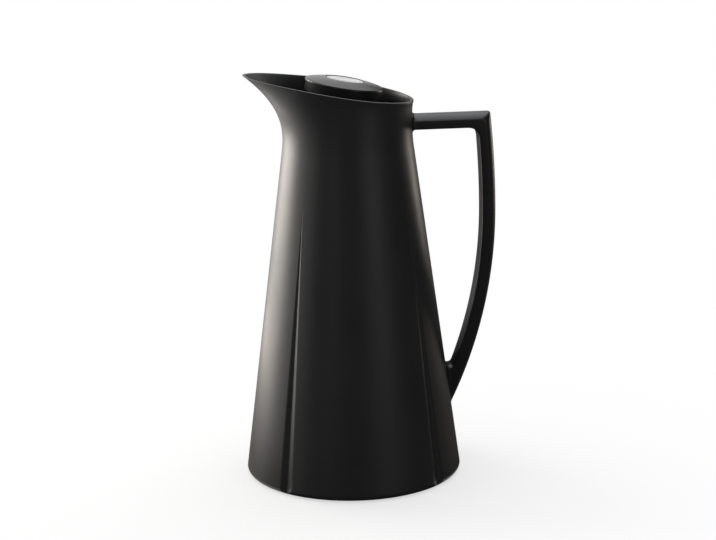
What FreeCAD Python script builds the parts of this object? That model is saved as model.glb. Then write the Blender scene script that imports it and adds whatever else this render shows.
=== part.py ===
import FreeCAD, Part
import math
import os
from types import SimpleNamespace

import Sketcher
from FreeCAD import Placement, Rotation, Vector

# A glass-lined thermal jug with a screw-in stopper and a push-button valve.
# The jug stands on the XY plane with its axis on Z, its spout towards -X and its handle towards +X.
doc = FreeCAD.newDocument("thermal_jug")

# Driving dimensions in millimetres and degrees, grouped by piece.
SIZES = {
    # Cuts run this far past the material they go through
    "cut_overrun": 2.0,
    # Outer shell: a straight cone that waists in and opens into a tilted rim with a spout
    "base_radius": 73.5,
    "base_edge_height": 4.0,
    "base_edge_round": 3.2,
    "shell_bottom_height": 0.8,
    "shell_wall": 3.0,
    "neck_length": 39.6,
    "neck_start_radius": 44.25,
    "rim_height": 264.6,
    "rim_tilt": 9.7,
    "rim_flare": 1.3,
    "lip_wall": 2.0,
    "lip_round": 0.7,
    "spout_reach": 25.3,
    "spout_half_angle": 36.0,
    "spout_rise_power": 2.85,
    "spout_width_power": 1.75,
    "waist_power": 5.0,
    "flare_power": 10.0,
    # Grooves that taper out up the cone
    "groove_count": 4,
    "groove_stop": 30.0,
    "groove_width": 10.4,
    "groove_depth": 2.1,
    # Bosses inside the shell for the base screws
    "boss_radius": 5.2,
    "boss_top_height": 24.0,
    # Handle: flat-sided grip with a domed outer face, sized along the ridge of the dome
    "handle_width": 16.0,
    "handle_side": 5.5,
    "handle_dome": 4.5,
    "handle_drop": 17.8,
    "handle_reach": 99.9,
    "handle_bow_drop": 66.8,
    "handle_upper_radius": 640.0,
    "handle_lower_radius": 310.0,
    "handle_inside_round": 6.4,
    "handle_seat_gap": 0.05,
    "handle_tenon_width": 9.0,
    "handle_tenon_height": 4.5,
    "handle_tenon_depth": 1.2,
    "handle_tenon_gap": 0.1,
    # Handle screws, driven outwards from the dry inside of the shell
    "handle_screw_depth": 8.0,
    "handle_screw_spacing": 6.5,
    "handle_screw_shank_radius": 1.6,
    "handle_screw_bite": 4.0,
    "handle_screw_head_radius": 3.0,
    "handle_screw_head": 1.8,
    # Fits shared by all screws
    "screw_hole_gap": 0.25,
    "screw_pilot_gap": 0.05,
    "screw_seat_gap": 0.1,
    "screw_recess_width": 0.9,
    "screw_recess_depth": 0.9,
    # Base plate with its screws and foot ring
    "plate_bottom_height": 2.2,
    "plate_wall": 3.0,
    "plate_gap": 0.25,
    "base_screw_count": 3,
    "base_screw_shank_radius": 1.8,
    "base_screw_bite": 11.0,
    "base_screw_head_radius": 3.6,
    "base_screw_head": 1.5,
    "base_screw_recess_gap": 0.2,
    "foot_ring_inset": 12.0,
    "foot_ring_width": 5.0,
    "foot_ring_sink": 1.2,
    "foot_ring_round": 0.8,
    "foot_ring_gap": 0.1,
    # Rubber cushion under the glass, held by a fence on the base plate
    "cushion_radius": 30.0,
    "cushion_bore_radius": 13.0,
    "cushion_gap": 0.2,
    "fence_wall": 2.0,
    "fence_rise": 4.0,
    # Double-walled glass flask
    "flask_bottom_height": 12.0,
    "flask_gap": 1.0,
    "flask_bottom_round": 29.0,
    "flask_shoulder_drop": 50.0,
    "flask_shoulder_round": 27.0,
    "flask_neck_length": 13.0,
    "flask_neck_round": 16.0,
    "flask_neck_step": 5.5,
    "flask_lip_drop": 7.0,
    "flask_lip": 3.0,
    "flask_lip_round": 1.2,
    "glass_wall": 1.8,
    "vacuum_gap": 3.0,
    "neck_vacuum_gap": 1.4,
    "tip_radius": 3.5,
    "tip_length": 4.0,
    "pad_count": 3,
    "pad_angle": 14.0,
    "pad_rise": 48.0,
    "pad_length": 10.0,
    "pad_gap": 0.1,
    # Gasket between the glass mouth and the collar
    "gasket_wall": 4.0,
    "gasket_edge": 1.0,
    # Pouring collar: a wedged edge, a sloping moat floor, a hub over the flask and a tilted socket
    "collar_edge_rise": 1.0,
    "collar_edge_length": 8.0,
    "collar_edge_wall": 3.4,
    "collar_gap": 0.1,
    "collar_floor_drop": 23.1,
    "collar_floor_wall": 2.8,
    "collar_hub_radius": 30.0,
    "mouth_step": 0.5,
    "mouth_top_drop": 30.1,
    "thread_gap": 0.5,
    "socket_wall": 2.7,
    "socket_drop": 15.5,
    "seat_step": 1.6,
    "chamber_side_gap": 0.8,
    "chamber_gap": 1.45,
    "oring_width": 2.2,
    "oring_sink": 1.5,
    "oring_gap": 0.05,
    # Three-start thread of the stopper in the socket
    "thread_starts": 3,
    "thread_lead": 24.0,
    "thread_span": 68.0,
    "thread_root_width": 3.0,
    "thread_crest_width": 1.6,
    "thread_depth": 1.8,
    "thread_sink": 0.4,
    "thread_rise": 1.8,
    # Lid cap, measured from the plane of its edge along the tilted axis of the stopper
    "lid_offset": 1.6,
    "lid_lift": 4.1,
    "lid_radius": 26.4,
    "lid_edge": 1.5,
    "lid_crown": 3.5,
    "lid_under_drop": 0.9,
    "lid_overhang": 0.5,
    "lid_skirt_wall": 1.7,
    "lid_skirt_drop": 7.5,
    "lid_ledge": 1.6,
    "lid_gap": 0.1,
    # Stopper plug: a flange under the cap, a dry well for the spring and a nose with the valve port
    "plug_radius": 20.6,
    "plug_wall": 3.0,
    "plug_flange_wall": 1.8,
    "well_inset": 1.25,
    "well_wall": 1.6,
    "well_drop": 17.0,
    "well_floor": 2.0,
    "stem_boss_radius": 5.5,
    "stem_boss_length": 2.6,
    "window_count": 6,
    "window_angle": 38.0,
    "window_sill": 0.6,
    "shoulder_drop": 23.4,
    "nose_radius": 17.2,
    "nose_wall": 2.6,
    "nose_length": 2.5,
    "nose_floor": 2.0,
    "port_radius": 11.5,
    # Seal ring between the plug's shoulder and the seat
    "seal_gap": 0.08,
    "seal_inset": 0.3,
    # Push button, its carrier and its spring
    "button_radius": 12.5,
    "button_gap": 0.3,
    "button_edge_rise": 2.4,
    "button_dish": 0.7,
    "button_wall": 0.6,
    "button_skirt": 3.2,
    "button_travel": 5.0,
    "carrier_gap": 0.1,
    "carrier_disc": 2.3,
    "carrier_guide_gap": 0.3,
    "carrier_guide_wall": 1.6,
    "carrier_ledge_gap": 0.3,
    "carrier_well_gap": 2.1,
    "carrier_hub_radius": 4.5,
    "spring_radius": 7.3,
    "spring_wire_radius": 0.55,
    "spring_turns": 5,
    "spring_gap": 0.1,
    # Valve stem with its clip and seal, and the valve plate on its lower end
    "stem_radius": 2.5,
    "stem_gap": 0.06,
    "stem_top_sink": 0.5,
    "stem_groove": 0.6,
    "clip_wall": 0.8,
    "clip_radius": 4.0,
    "clip_gap": 0.05,
    "clip_pocket_gap": 0.2,
    "clip_pocket": 2.0,
    "stem_seal_wall": 1.4,
    "stem_seal_length": 1.6,
    "stem_seal_gap": 0.05,
    "valve_overlap": 3.0,
    "valve_plate_wall": 2.2,
    "valve_seal_inset": 0.3,
    "valve_seal_reach": 1.9,
    "valve_seal_wall": 1.2,
    "valve_gap": 0.15,
    "valve_screw_shank_radius": 1.4,
    "valve_screw_bite": 6.0,
    "valve_screw_head_radius": 4.2,
    "valve_screw_head": 1.8,
}

sheet = doc.addObject("Spreadsheet::Sheet", "Sizes")
for row, (alias, number) in enumerate(SIZES.items(), start=1):
    sheet.set(f"A{row}", alias)
    sheet.set(f"B{row}", str(number))
    sheet.setAlias(f"B{row}", alias)
doc.recompute()


class Size:
    """A size that carries both its value and the sheet expression that gives it."""

    def __init__(self, value, text):
        self.value = float(value)
        self.text = text

    def __float__(self):
        return self.value

    def __add__(self, other):
        return Size(self.value + float(other), f"({self.text} + {text_of(other)})")

    def __sub__(self, other):
        return Size(self.value - float(other), f"({self.text} - {text_of(other)})")

    def __mul__(self, other):
        return Size(self.value * float(other), f"({self.text} * {text_of(other)})")

    def __truediv__(self, other):
        return Size(self.value / float(other), f"({self.text} / {text_of(other)})")

    def __rsub__(self, other):
        return Size(float(other) - self.value, f"({text_of(other)} - {self.text})")

    def __neg__(self):
        return Size(-self.value, f"(-{self.text})")


def text_of(number):
    return number.text if isinstance(number, Size) else repr(number)


def root_of(size):
    return Size(math.sqrt(size.value), f"sqrt({size.text})")


s = SimpleNamespace(**{alias: Size(sheet.get(alias), f"Sizes.{alias}") for alias in SIZES})
v = SimpleNamespace(**{alias: float(sheet.get(alias)) for alias in SIZES})
ZERO = Size(0, "0")


def derive(alias, size):
    """Keep a size that is worked out from others beside them, under its own name."""
    setattr(s, alias, size)
    setattr(v, alias, size.value)


# Heights are measured down from the rim, or up from the foot of the neck.
derive("neck_start_height", s.rim_height - s.neck_length)
derive("groove_top_height", s.neck_start_height - s.groove_stop)
derive("handle_top_height", s.rim_height - s.handle_drop)
derive("handle_reach_height", s.handle_top_height - s.handle_bow_drop)
derive("collar_edge_bottom_height", s.neck_start_height + s.collar_edge_rise)
derive("collar_edge_top_height", s.collar_edge_bottom_height + s.collar_edge_length)
derive("flask_lip_height", s.neck_start_height - s.flask_lip_drop)
derive("flask_neck_height", s.flask_lip_height - s.flask_neck_length)
derive("flask_shoulder_height", s.flask_neck_height - s.flask_shoulder_drop)
derive("pad_height", s.flask_bottom_height + s.pad_rise)

# Depths and radii in the stopper follow the plug, its nose, its port and the button.
derive("seat_drop", s.shoulder_drop + s.seat_step)
derive("nose_drop", s.seat_drop + s.nose_length)
derive("thread_bottom_drop", s.shoulder_drop - s.thread_rise)
derive("socket_radius", s.plug_radius + s.thread_depth + s.thread_gap)
derive("seal_radius", s.plug_radius - s.seal_inset)
derive("chamber_radius", s.nose_radius + s.chamber_side_gap)
derive("mouth_radius", s.chamber_radius + s.mouth_step)
derive("flask_neck_radius", s.mouth_radius + s.flask_neck_step)
derive("lid_skirt_radius", s.lid_radius - s.lid_overhang)
derive("well_radius", s.button_radius - s.well_inset)
derive("valve_plate_radius", s.port_radius + s.valve_overlap)
derive("valve_seal_radius", s.valve_plate_radius - s.valve_seal_inset)
derive("valve_seal_bore_radius", s.port_radius - s.valve_seal_reach)

# Places that several pieces share.
slope = (s.base_radius - s.neck_start_radius) / (s.neck_start_height - s.base_edge_height)
waist_radius = s.neck_start_radius - slope * s.neck_length / s.waist_power
plate_top = s.plate_bottom_height + s.plate_wall
hub_bottom = s.flask_lip_height + s.gasket_wall
button_middle = s.button_edge_rise - s.button_dish
button_under = button_middle - s.button_wall
disc_under = button_under - s.carrier_disc
ledge_drop = s.button_travel + s.carrier_ledge_gap - disc_under
flange_bottom_drop = ledge_drop + s.plug_flange_wall
plate_face_drop = s.nose_drop + s.valve_gap + s.valve_seal_wall
plate_under_drop = plate_face_drop + s.valve_plate_wall
chamber_drop = plate_under_drop + s.button_travel + s.chamber_gap
lid_skirt_bore = s.lid_skirt_radius - s.lid_skirt_wall
handle_thickness = s.handle_side + s.handle_dome


def cone_radius(height):
    """Outside radius of the straight cone at a height."""
    return s.base_radius - slope * (height - s.base_edge_height)


derive("flask_radius", cone_radius(s.flask_shoulder_height) - s.shell_wall - s.flask_gap)
plate_radius = cone_radius(plate_top) - s.shell_wall - s.plate_gap
derive("foot_ring_radius", plate_radius - s.foot_ring_inset)


# Frame of the stopper: its origin is the middle of the lid's edge, its Z axis is the tilted screw axis.
tilt = math.radians(v.rim_tilt)
lid_centre = Vector(
    -v.lid_offset, 0, v.rim_height + math.tan(tilt) * v.lid_offset + v.lid_lift / math.cos(tilt)
)
LID_CENTRE_HEIGHT = (
    "Sizes.rim_height + tan(Sizes.rim_tilt * 1 deg) * Sizes.lid_offset"
    " + Sizes.lid_lift / cos(Sizes.rim_tilt * 1 deg)"
)
stopper_place = Placement(lid_centre, Rotation(Vector(0, 1, 0), v.rim_tilt))
derive("lid_height", Size(lid_centre.z, f"({LID_CENTRE_HEIGHT})"))
derive("mouth_top_height", s.lid_height - s.mouth_top_drop)


def seat_in_stopper(piece):
    """Place a piece that is drawn in the frame of the stopper."""
    piece.Placement = stopper_place
    piece.setExpression("Placement.Base.x", "-Sizes.lid_offset")
    piece.setExpression("Placement.Base.z", LID_CENTRE_HEIGHT)
    piece.setExpression("Placement.Rotation.Angle", "Sizes.rim_tilt * 1 deg")


def origin_plane(body, role):
    return next(feature for feature in body.Origin.OriginFeatures if feature.Role == role)


def attached_sketch(body, name, role="XZ_Plane"):
    sketch = body.newObject("Sketcher::SketchObject", name)
    sketch.AttachmentSupport = [(origin_plane(body, role), "")]
    sketch.MapMode = "FlatFace"
    return sketch


def pin_point(sketch, geometry, position, point):
    """Hold a sketch point at two sizes, each zero as a point on an axis."""
    for size, kind, axis in ((point[0], "DistanceX", -2), (point[1], "DistanceY", -1)):
        if size is ZERO:
            sketch.addConstraint(Sketcher.Constraint("PointOnObject", geometry, position, axis))
        else:
            index = sketch.addConstraint(Sketcher.Constraint(kind, geometry, position, size.value))
            sketch.setExpression(f"Constraints[{index}]", size.text)


def pin_radius(sketch, geometry, radius):
    index = sketch.addConstraint(Sketcher.Constraint("Radius", geometry, radius.value))
    sketch.setExpression(f"Constraints[{index}]", radius.text)


def arc_about(centre, radius, start, end):
    """Counter-clockwise arc from start to end in the plane of a sketch."""
    first = math.atan2(start.y - centre.y, start.x - centre.x)
    last = math.atan2(end.y - centre.y, end.x - centre.x)
    return Part.ArcOfCircle(Part.Circle(centre, Vector(0, 0, 1), radius), first, last)


def draw_outline(sketch, corners):
    """Draw a closed outline whose corners are (x, y), with an optional third item:
    ("round", radius) rounds the corner, ("left", radius) or ("right", radius) makes the edge
    to the next corner an arc with its centre on that side."""
    count = len(corners)
    points = [Vector(float(corner[0]), float(corner[1]), 0) for corner in corners]
    style = [corner[2] if len(corner) > 2 else (None, None) for corner in corners]
    leave = list(points)
    reach = list(points)
    for i in range(count):
        if style[i][0] == "round":
            inward = (points[i] - points[i - 1]).normalize()
            outward = (points[(i + 1) % count] - points[i]).normalize()
            cut = style[i][1].value * math.tan(inward.getAngle(outward) / 2)
            reach[i] = points[i] - inward * cut
            leave[i] = points[i] + outward * cut
    for i in range(count):
        start, end = leave[i], reach[(i + 1) % count]
        kind, radius = style[i]
        if kind in ("left", "right"):
            chord = end - start
            side = Vector(-chord.y, chord.x, 0).normalize()
            away = math.sqrt(radius.value**2 - (chord.Length / 2) ** 2)
            if kind == "left":
                sketch.addGeometry(arc_about(start + chord / 2 + side * away, radius.value, start, end))
            else:
                sketch.addGeometry(arc_about(start + chord / 2 - side * away, radius.value, end, start))
        else:
            sketch.addGeometry(Part.LineSegment(start, end))
    first_point = [2 if style[i][0] == "right" else 1 for i in range(count)]
    for i in range(count):
        before = (i - 1) % count
        end_point = 3 - first_point[before]
        if style[i][0] == "round":
            radius = style[i][1]
            inward = (points[i] - points[before]).normalize()
            outward = (points[(i + 1) % count] - points[i]).normalize()
            left = inward.cross(outward).z > 0
            side = Vector(-inward.y, inward.x, 0) * (1 if left else -1)
            centre = reach[i] + side * radius.value
            ends = (reach[i], leave[i]) if left else (leave[i], reach[i])
            arc = sketch.addGeometry(arc_about(centre, radius.value, *ends))
            corner = sketch.addGeometry(Part.Point(points[i]), True)
            entry, leaving = (1, 2) if left else (2, 1)
            sketch.addConstraint(Sketcher.Constraint("Tangent", before, end_point, arc, entry))
            sketch.addConstraint(Sketcher.Constraint("Tangent", arc, leaving, i, first_point[i]))
            sketch.addConstraint(Sketcher.Constraint("PointOnObject", corner, 1, before))
            sketch.addConstraint(Sketcher.Constraint("PointOnObject", corner, 1, i))
            pin_point(sketch, corner, 1, corners[i])
            pin_radius(sketch, arc, radius)
        else:
            sketch.addConstraint(Sketcher.Constraint("Coincident", before, end_point, i, first_point[i]))
            pin_point(sketch, i, first_point[i], corners[i])
        if style[i][0] in ("left", "right"):
            pin_radius(sketch, i, style[i][1])


def turned(label, corners):
    """A piece turned about Z from its half section in radius and height."""
    body = doc.addObject("PartDesign::Body", label)
    sketch = attached_sketch(body, f"{label}_section")
    draw_outline(sketch, corners)
    turning = body.newObject("PartDesign::Revolution", f"{label}_turning")
    turning.Profile = sketch
    turning.ReferenceAxis = (sketch, ["V_Axis"])
    turning.Angle = 360
    return body


def turned_in_stopper(label, corners):
    body = turned(label, corners)
    seat_in_stopper(body)
    return body


def feature(name, shape):
    piece = doc.addObject("Part::Feature", name)
    piece.Shape = shape
    return piece


def cut(name, base, *tools):
    """Base with each tool taken away in turn; the last result has the name."""
    for number, tool in enumerate(tools, start=1):
        piece = doc.addObject("Part::Cut", name if number == len(tools) else f"{name}_stage_{number}")
        piece.Base = base
        piece.Tool = tool
        piece.Refine = False
        base = piece
    return base


def fuse(name, *pieces):
    joined = doc.addObject("Part::MultiFuse", name)
    joined.Shapes = list(pieces)
    joined.Refine = False
    return joined


# Outline of the shell above the cone: sections on planes that fan from level to the tilt of the rim.
FAN_SHARES = (0.0, 0.07, 0.15, 0.25, 0.36, 0.48, 0.6, 0.7, 0.79, 0.87, 0.94, 1.0)
SECTION_POINTS = 48


def outline_radius(angle, share, inset):
    """Radius of a section at an angle from the spout, moved in by an inset."""
    straight = float(waist_radius) + float(slope) * v.neck_length / v.waist_power * (
        (1 - share) ** v.waist_power
    )
    flare = v.rim_flare * share**v.flare_power
    width = math.exp(-((abs(angle) / math.radians(v.spout_half_angle)) ** v.spout_width_power))
    return straight + flare + v.spout_reach * share**v.spout_rise_power * width - inset


def fan_section(share, inset):
    """Closed wire of the outline on the fan plane at a share of the way up to the rim."""
    middle = v.neck_start_height + share * v.neck_length
    fall = math.tan(tilt * share)
    points = []
    for number in range(SECTION_POINTS):
        around = 2 * math.pi * number / SECTION_POINTS
        radius = outline_radius(math.pi - around if around <= math.pi else around - math.pi, share, inset)
        x = radius * math.cos(around)
        points.append(Vector(x, radius * math.sin(around), middle - fall * x))
    curve = Part.BSplineCurve()
    shares = [number / SECTION_POINTS for number in range(SECTION_POINTS + 1)]
    curve.interpolate(Points=points, PeriodicFlag=True, Parameters=shares)
    return Part.Wire(curve.toShape())


def shell_form(low_inset, high_inset, bottom, over=0.0, rounded=False):
    """Solid inside the outline, from a height up to the rim, or past it by a share."""
    low = float(cone_radius(bottom)) - low_inset
    cone = Part.makeCone(
        low, v.neck_start_radius - low_inset, v.neck_start_height - bottom, Vector(0, 0, bottom)
    )
    if rounded:
        lowest = min(cone.Edges, key=lambda edge: edge.CenterOfMass.z)
        cone = cone.makeFillet(v.base_edge_round, [lowest])
    shares = [*FAN_SHARES, 1 + over] if over else FAN_SHARES
    wires = [fan_section(share, low_inset + (high_inset - low_inset) * share) for share in shares]
    start = Part.Wire(
        Part.Circle(
            Vector(0, 0, v.neck_start_height), Vector(0, 0, 1), v.neck_start_radius - low_inset
        ).toShape()
    )
    upper = Part.makeLoft([start] + wires[1:], True)
    return cone.fuse(upper).removeSplitter()


LIP_OVER_SHARE = 0.06
outside = shell_form(0.0, 0.0, v.shell_bottom_height, rounded=True)
cavity = shell_form(v.shell_wall, v.lip_wall, v.shell_bottom_height - v.cut_overrun, over=LIP_OVER_SHARE)


def rounded_rim(shape):
    """Round the outer edge of the rim."""
    normal = Vector(math.sin(tilt), 0, math.cos(tilt))
    level = normal.dot(Vector(0, 0, v.rim_height))
    on_rim = [
        edge
        for edge in shape.Edges
        if all(abs(normal.dot(point) - level) < v.lip_round / 10 for point in edge.discretize(9))
    ]
    longest = max(edge.Length for edge in on_rim)
    return shape.makeFillet(v.lip_round, [edge for edge in on_rim if edge.Length > longest * 0.999])


def groove_cutter(angle):
    """Wedge whose lower end has the width and depth of a groove and whose tip ends on the cone."""
    low = v.shell_bottom_height - v.cut_overrun
    surface = float(cone_radius(low))
    spread = (v.groove_depth + v.cut_overrun) / v.groove_depth
    half = v.groove_width / 2 * spread
    valley = Vector(surface - v.groove_depth, 0, low)
    left = Vector(surface + v.cut_overrun, half, low)
    right = Vector(surface + v.cut_overrun, -half, low)
    tip = Vector(float(cone_radius(s.groove_top_height)), 0, v.groove_top_height)
    faces = [
        Part.Face(Part.makePolygon([*corners, corners[0]]))
        for corners in ((valley, left, right), (valley, tip, left), (valley, right, tip), (left, tip, right))
    ]
    wedge = Part.Solid(Part.Shell(faces))
    wedge.rotate(Vector(0, 0, 0), Vector(0, 0, 1), angle)
    return wedge


def screw(shank_radius, shank_length, head_radius, head):
    """Pan-head screw along Z with its head seat at the origin and a cross recess in its head."""
    body = Part.makeCylinder(shank_radius, shank_length).fuse(
        Part.makeCylinder(head_radius, head, Vector(0, 0, -head))
    )
    for turn in (0, 90):
        slot = Part.makeBox(
            head_radius,
            v.screw_recess_width,
            v.screw_recess_depth,
            Vector(-head_radius / 2, -v.screw_recess_width / 2, -head),
        )
        slot.rotate(Vector(0, 0, 0), Vector(0, 0, 1), turn)
        body = body.cut(slot)
    return body


def around_axis(shape, count, first=0.0):
    """Copies of a shape, evenly spaced about Z."""
    copies = []
    for number in range(int(count)):
        copy = shape.copy()
        copy.rotate(Vector(0, 0, 0), Vector(0, 0, 1), first + 360 * number / count)
        copies.append(copy)
    return copies


# Base screws stand on a circle that sets their bosses into the wall of the shell.
screw_circle = float(cone_radius(s.boss_top_height)) - v.shell_wall / 2 - v.boss_radius
screw_seat = plate_top - s.plate_wall + s.base_screw_head + s.base_screw_recess_gap
BASE_SCREW_START_ANGLE = 60


def grip_foot_height(depth):
    """Height at which the grip's lower arc, at a depth below its ridge, runs into the cone."""
    centre = v.handle_reach - v.handle_lower_radius
    radius = v.handle_lower_radius - depth
    fall = float(slope)
    away = float(cone_radius(0)) - centre
    middle = fall * away + v.handle_reach_height
    square = 1 + fall**2
    return (
        middle - math.sqrt(middle**2 - square * (away**2 + v.handle_reach_height**2 - radius**2))
    ) / square


# Handle screws stand side by side and square to the wall, with the head seat just clear of it.
handle_screw_height = grip_foot_height(v.handle_screw_depth)
lean = math.degrees(math.atan(float(slope)))
screw_wall_radius = float(cone_radius(handle_screw_height)) - v.shell_wall
screw_swing = math.degrees(math.asin(v.handle_screw_spacing / 2 / screw_wall_radius))
handle_screw_places = []
for swing in (-screw_swing, screw_swing):
    square = Rotation(Vector(0, 0, 1), swing).multiply(Rotation(Vector(0, 1, 0), 90 - lean))
    axis = square.multVec(Vector(0, 0, 1))
    wall_inside = Rotation(Vector(0, 0, 1), swing).multVec(
        Vector(screw_wall_radius, 0, handle_screw_height)
    )
    handle_screw_places.append(Placement(wall_inside - axis * v.screw_seat_gap, square))


def along_handle_screws(radius, start, length):
    """Cylinders on the axes of the handle screws, measured from their head seats."""
    rods = []
    for place in handle_screw_places:
        rod = Part.makeCylinder(radius, length, Vector(0, 0, start))
        rod.Placement = place
        rods.append(rod)
    return Part.Compound(rods)


# The tenon on the handle's upper root sits in a blind pocket of the wall, above the collar's wet edge.
tenon_height = v.handle_top_height - float(handle_thickness) + v.handle_side / 2


def tenon_block(gap):
    """Block about the tenon, from inside the wall's thickness outwards past the root."""
    share = (tenon_height - v.neck_start_height) / v.neck_length
    wall_outside = outline_radius(math.pi, share, 0) if share > 0 else float(cone_radius(tenon_height))
    return Part.makeBox(
        v.handle_tenon_depth + v.cut_overrun,
        v.handle_tenon_width + 2 * gap,
        v.handle_tenon_height + 2 * gap,
        Vector(
            wall_outside - v.handle_tenon_depth - gap,
            -v.handle_tenon_width / 2 - gap,
            tenon_height - v.handle_tenon_height / 2 - gap,
        ),
    )


# Outer shell.
shell_wall = feature("shell_wall", rounded_rim(outside.cut(cavity)))
boss = Part.makeCylinder(
    v.boss_radius, v.boss_top_height - float(plate_top), Vector(screw_circle, 0, float(plate_top))
)
pilot = Part.makeCylinder(
    v.base_screw_shank_radius + v.screw_pilot_gap,
    v.base_screw_bite + v.cut_overrun,
    Vector(screw_circle, 0, float(plate_top) - v.cut_overrun / 2),
)
bosses = feature("shell_bosses", Part.Compound(around_axis(boss, v.base_screw_count, BASE_SCREW_START_ANGLE)))
pilots = feature("shell_pilots", Part.Compound(around_axis(pilot, v.base_screw_count, BASE_SCREW_START_ANGLE)))
grooves = feature(
    "groove_cutters",
    Part.Compound(
        [groove_cutter(360 / v.groove_count * (number + 0.5)) for number in range(int(v.groove_count))]
    ),
)
shell_holes = feature(
    "shell_screw_holes",
    along_handle_screws(
        v.handle_screw_shank_radius + v.screw_hole_gap, -v.cut_overrun, v.shell_wall + 2 * v.cut_overrun
    ),
)
tenon_pocket = feature("tenon_pocket", tenon_block(v.handle_tenon_gap))
shell_body = fuse("shell_body", shell_wall, bosses)
outer_shell = cut("outer_shell", shell_body, grooves, pilots, shell_holes, tenon_pocket)


# Handle: a level bar and a grip of two tangent arcs, both with the same domed section, joined in a mitre.
def handle_section(origin, outward):
    """Face of the section with the ridge of its dome at a point, its dome facing outward."""

    def corner(depth, side):
        return origin - outward * depth + Vector(0, side * v.handle_width / 2, 0)

    back = float(handle_thickness)
    outline = [
        Part.LineSegment(corner(v.handle_dome, -1), corner(back, -1)),
        Part.LineSegment(corner(back, -1), corner(back, 1)),
        Part.LineSegment(corner(back, 1), corner(v.handle_dome, 1)),
        Part.Arc(corner(v.handle_dome, 1), origin, corner(v.handle_dome, -1)),
    ]
    return Part.Face(Part.Wire([edge.toShape() for edge in outline]))


def grip_arc(radius, end_height):
    """Grip from its furthest point along an arc that reaches a height."""
    centre = Vector(v.handle_reach - radius, 0, v.handle_reach_height)
    rise = end_height - v.handle_reach_height
    turn = math.degrees(math.asin(rise / radius))
    furthest = handle_section(Vector(v.handle_reach, 0, v.handle_reach_height), Vector(1, 0, 0))
    return furthest.revolve(centre, Vector(0, -1, 0), turn)


def arc_x(height, depth):
    """X of the upper arc of the grip at a height, at a depth below the ridge of its dome."""
    radius = v.handle_upper_radius - depth
    rise = height - v.handle_reach_height
    return v.handle_reach - v.handle_upper_radius + math.sqrt(radius**2 - rise**2)


def handle_form():
    """Bar and grip run past each other at the corner, which keeps what both hold, so it is mitred."""
    bar_start = v.neck_start_radius - 2 * v.shell_wall
    back = float(handle_thickness)
    bar_under = v.handle_top_height - back
    bar = handle_section(Vector(bar_start, 0, v.handle_top_height), Vector(0, 0, 1)).extrude(
        Vector(v.handle_reach + back - bar_start, 0, 0)
    )
    upper = grip_arc(v.handle_upper_radius, v.handle_top_height + back)
    lower = grip_arc(v.handle_lower_radius, grip_foot_height(0) - back)
    inside_grip = Part.makeCylinder(
        v.handle_upper_radius - back,
        2 * v.handle_width,
        Vector(v.handle_reach - v.handle_upper_radius, -v.handle_width, v.handle_reach_height),
        Vector(0, 1, 0),
    )
    under_bar = Part.makeBox(
        2 * v.handle_reach, 2 * v.handle_width, bar_under, Vector(0, -v.handle_width, 0)
    )
    pieces = [bar.common(inside_grip), bar.common(upper), upper.common(under_bar), lower]
    whole = pieces[0].fuse(pieces[1:]).removeSplitter()
    inner_corner = Vector(arc_x(bar_under, back), 0, bar_under)
    inside = [
        edge for edge in whole.Edges if (edge.CenterOfMass - inner_corner).Length < v.handle_seat_gap
    ]
    return whole.makeFillet(v.handle_inside_round, inside)


handle_bar = feature("handle_bar", handle_form())
handle_seat = feature(
    "handle_seat",
    shell_form(-v.handle_seat_gap, -v.handle_seat_gap, -2 * float(handle_thickness)).cut(tenon_block(0)),
)
handle_pilots = feature(
    "handle_pilots",
    along_handle_screws(
        v.handle_screw_shank_radius + v.screw_pilot_gap,
        0,
        v.screw_seat_gap + v.shell_wall + v.handle_screw_bite + v.cut_overrun / 2,
    ),
)
handle = cut("handle", handle_bar, handle_seat, handle_pilots)

handle_screws = feature(
    "handle_screws",
    Part.Compound(
        [
            screw(
                v.handle_screw_shank_radius,
                v.screw_seat_gap + v.shell_wall + v.handle_screw_bite,
                v.handle_screw_head_radius,
                v.handle_screw_head,
            ).transformGeometry(place.toMatrix())
            for place in handle_screw_places
        ]
    ),
)

# Base plate with the groove for the foot ring, the fence for the cushion and the screw holes.
foot_bore = s.foot_ring_radius - s.foot_ring_width
foot_top = s.plate_bottom_height + s.foot_ring_sink
fence_bore = s.cushion_radius + s.cushion_gap
fence_top = plate_top + s.fence_rise
base_plate_turning = turned(
    "base_plate_turning",
    [
        (ZERO, s.plate_bottom_height),
        (foot_bore - s.foot_ring_gap, s.plate_bottom_height),
        (foot_bore - s.foot_ring_gap, foot_top),
        (s.foot_ring_radius + s.foot_ring_gap, foot_top),
        (s.foot_ring_radius + s.foot_ring_gap, s.plate_bottom_height),
        (plate_radius, s.plate_bottom_height),
        (plate_radius, plate_top),
        (fence_bore + s.fence_wall, plate_top),
        (fence_bore + s.fence_wall, fence_top),
        (fence_bore, fence_top),
        (fence_bore, plate_top),
        (ZERO, plate_top),
    ],
)
plate_hole = Part.makeCylinder(
    v.base_screw_shank_radius + v.screw_hole_gap,
    v.plate_wall + 2 * v.cut_overrun,
    Vector(screw_circle, 0, v.plate_bottom_height - v.cut_overrun),
).fuse(
    Part.makeCylinder(
        v.base_screw_head_radius + v.base_screw_recess_gap,
        float(screw_seat) - v.plate_bottom_height + v.cut_overrun,
        Vector(screw_circle, 0, v.plate_bottom_height - v.cut_overrun),
    )
)
plate_holes = feature(
    "plate_holes", Part.Compound(around_axis(plate_hole, v.base_screw_count, BASE_SCREW_START_ANGLE))
)
base_plate = cut("base_plate", base_plate_turning, plate_holes)

base_screw = screw(
    v.base_screw_shank_radius,
    float(plate_top - screw_seat) + v.base_screw_bite,
    v.base_screw_head_radius,
    v.base_screw_head,
)
base_screw.translate(Vector(screw_circle, 0, float(screw_seat)))
base_screws = feature(
    "base_screws", Part.Compound(around_axis(base_screw, v.base_screw_count, BASE_SCREW_START_ANGLE))
)

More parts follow.
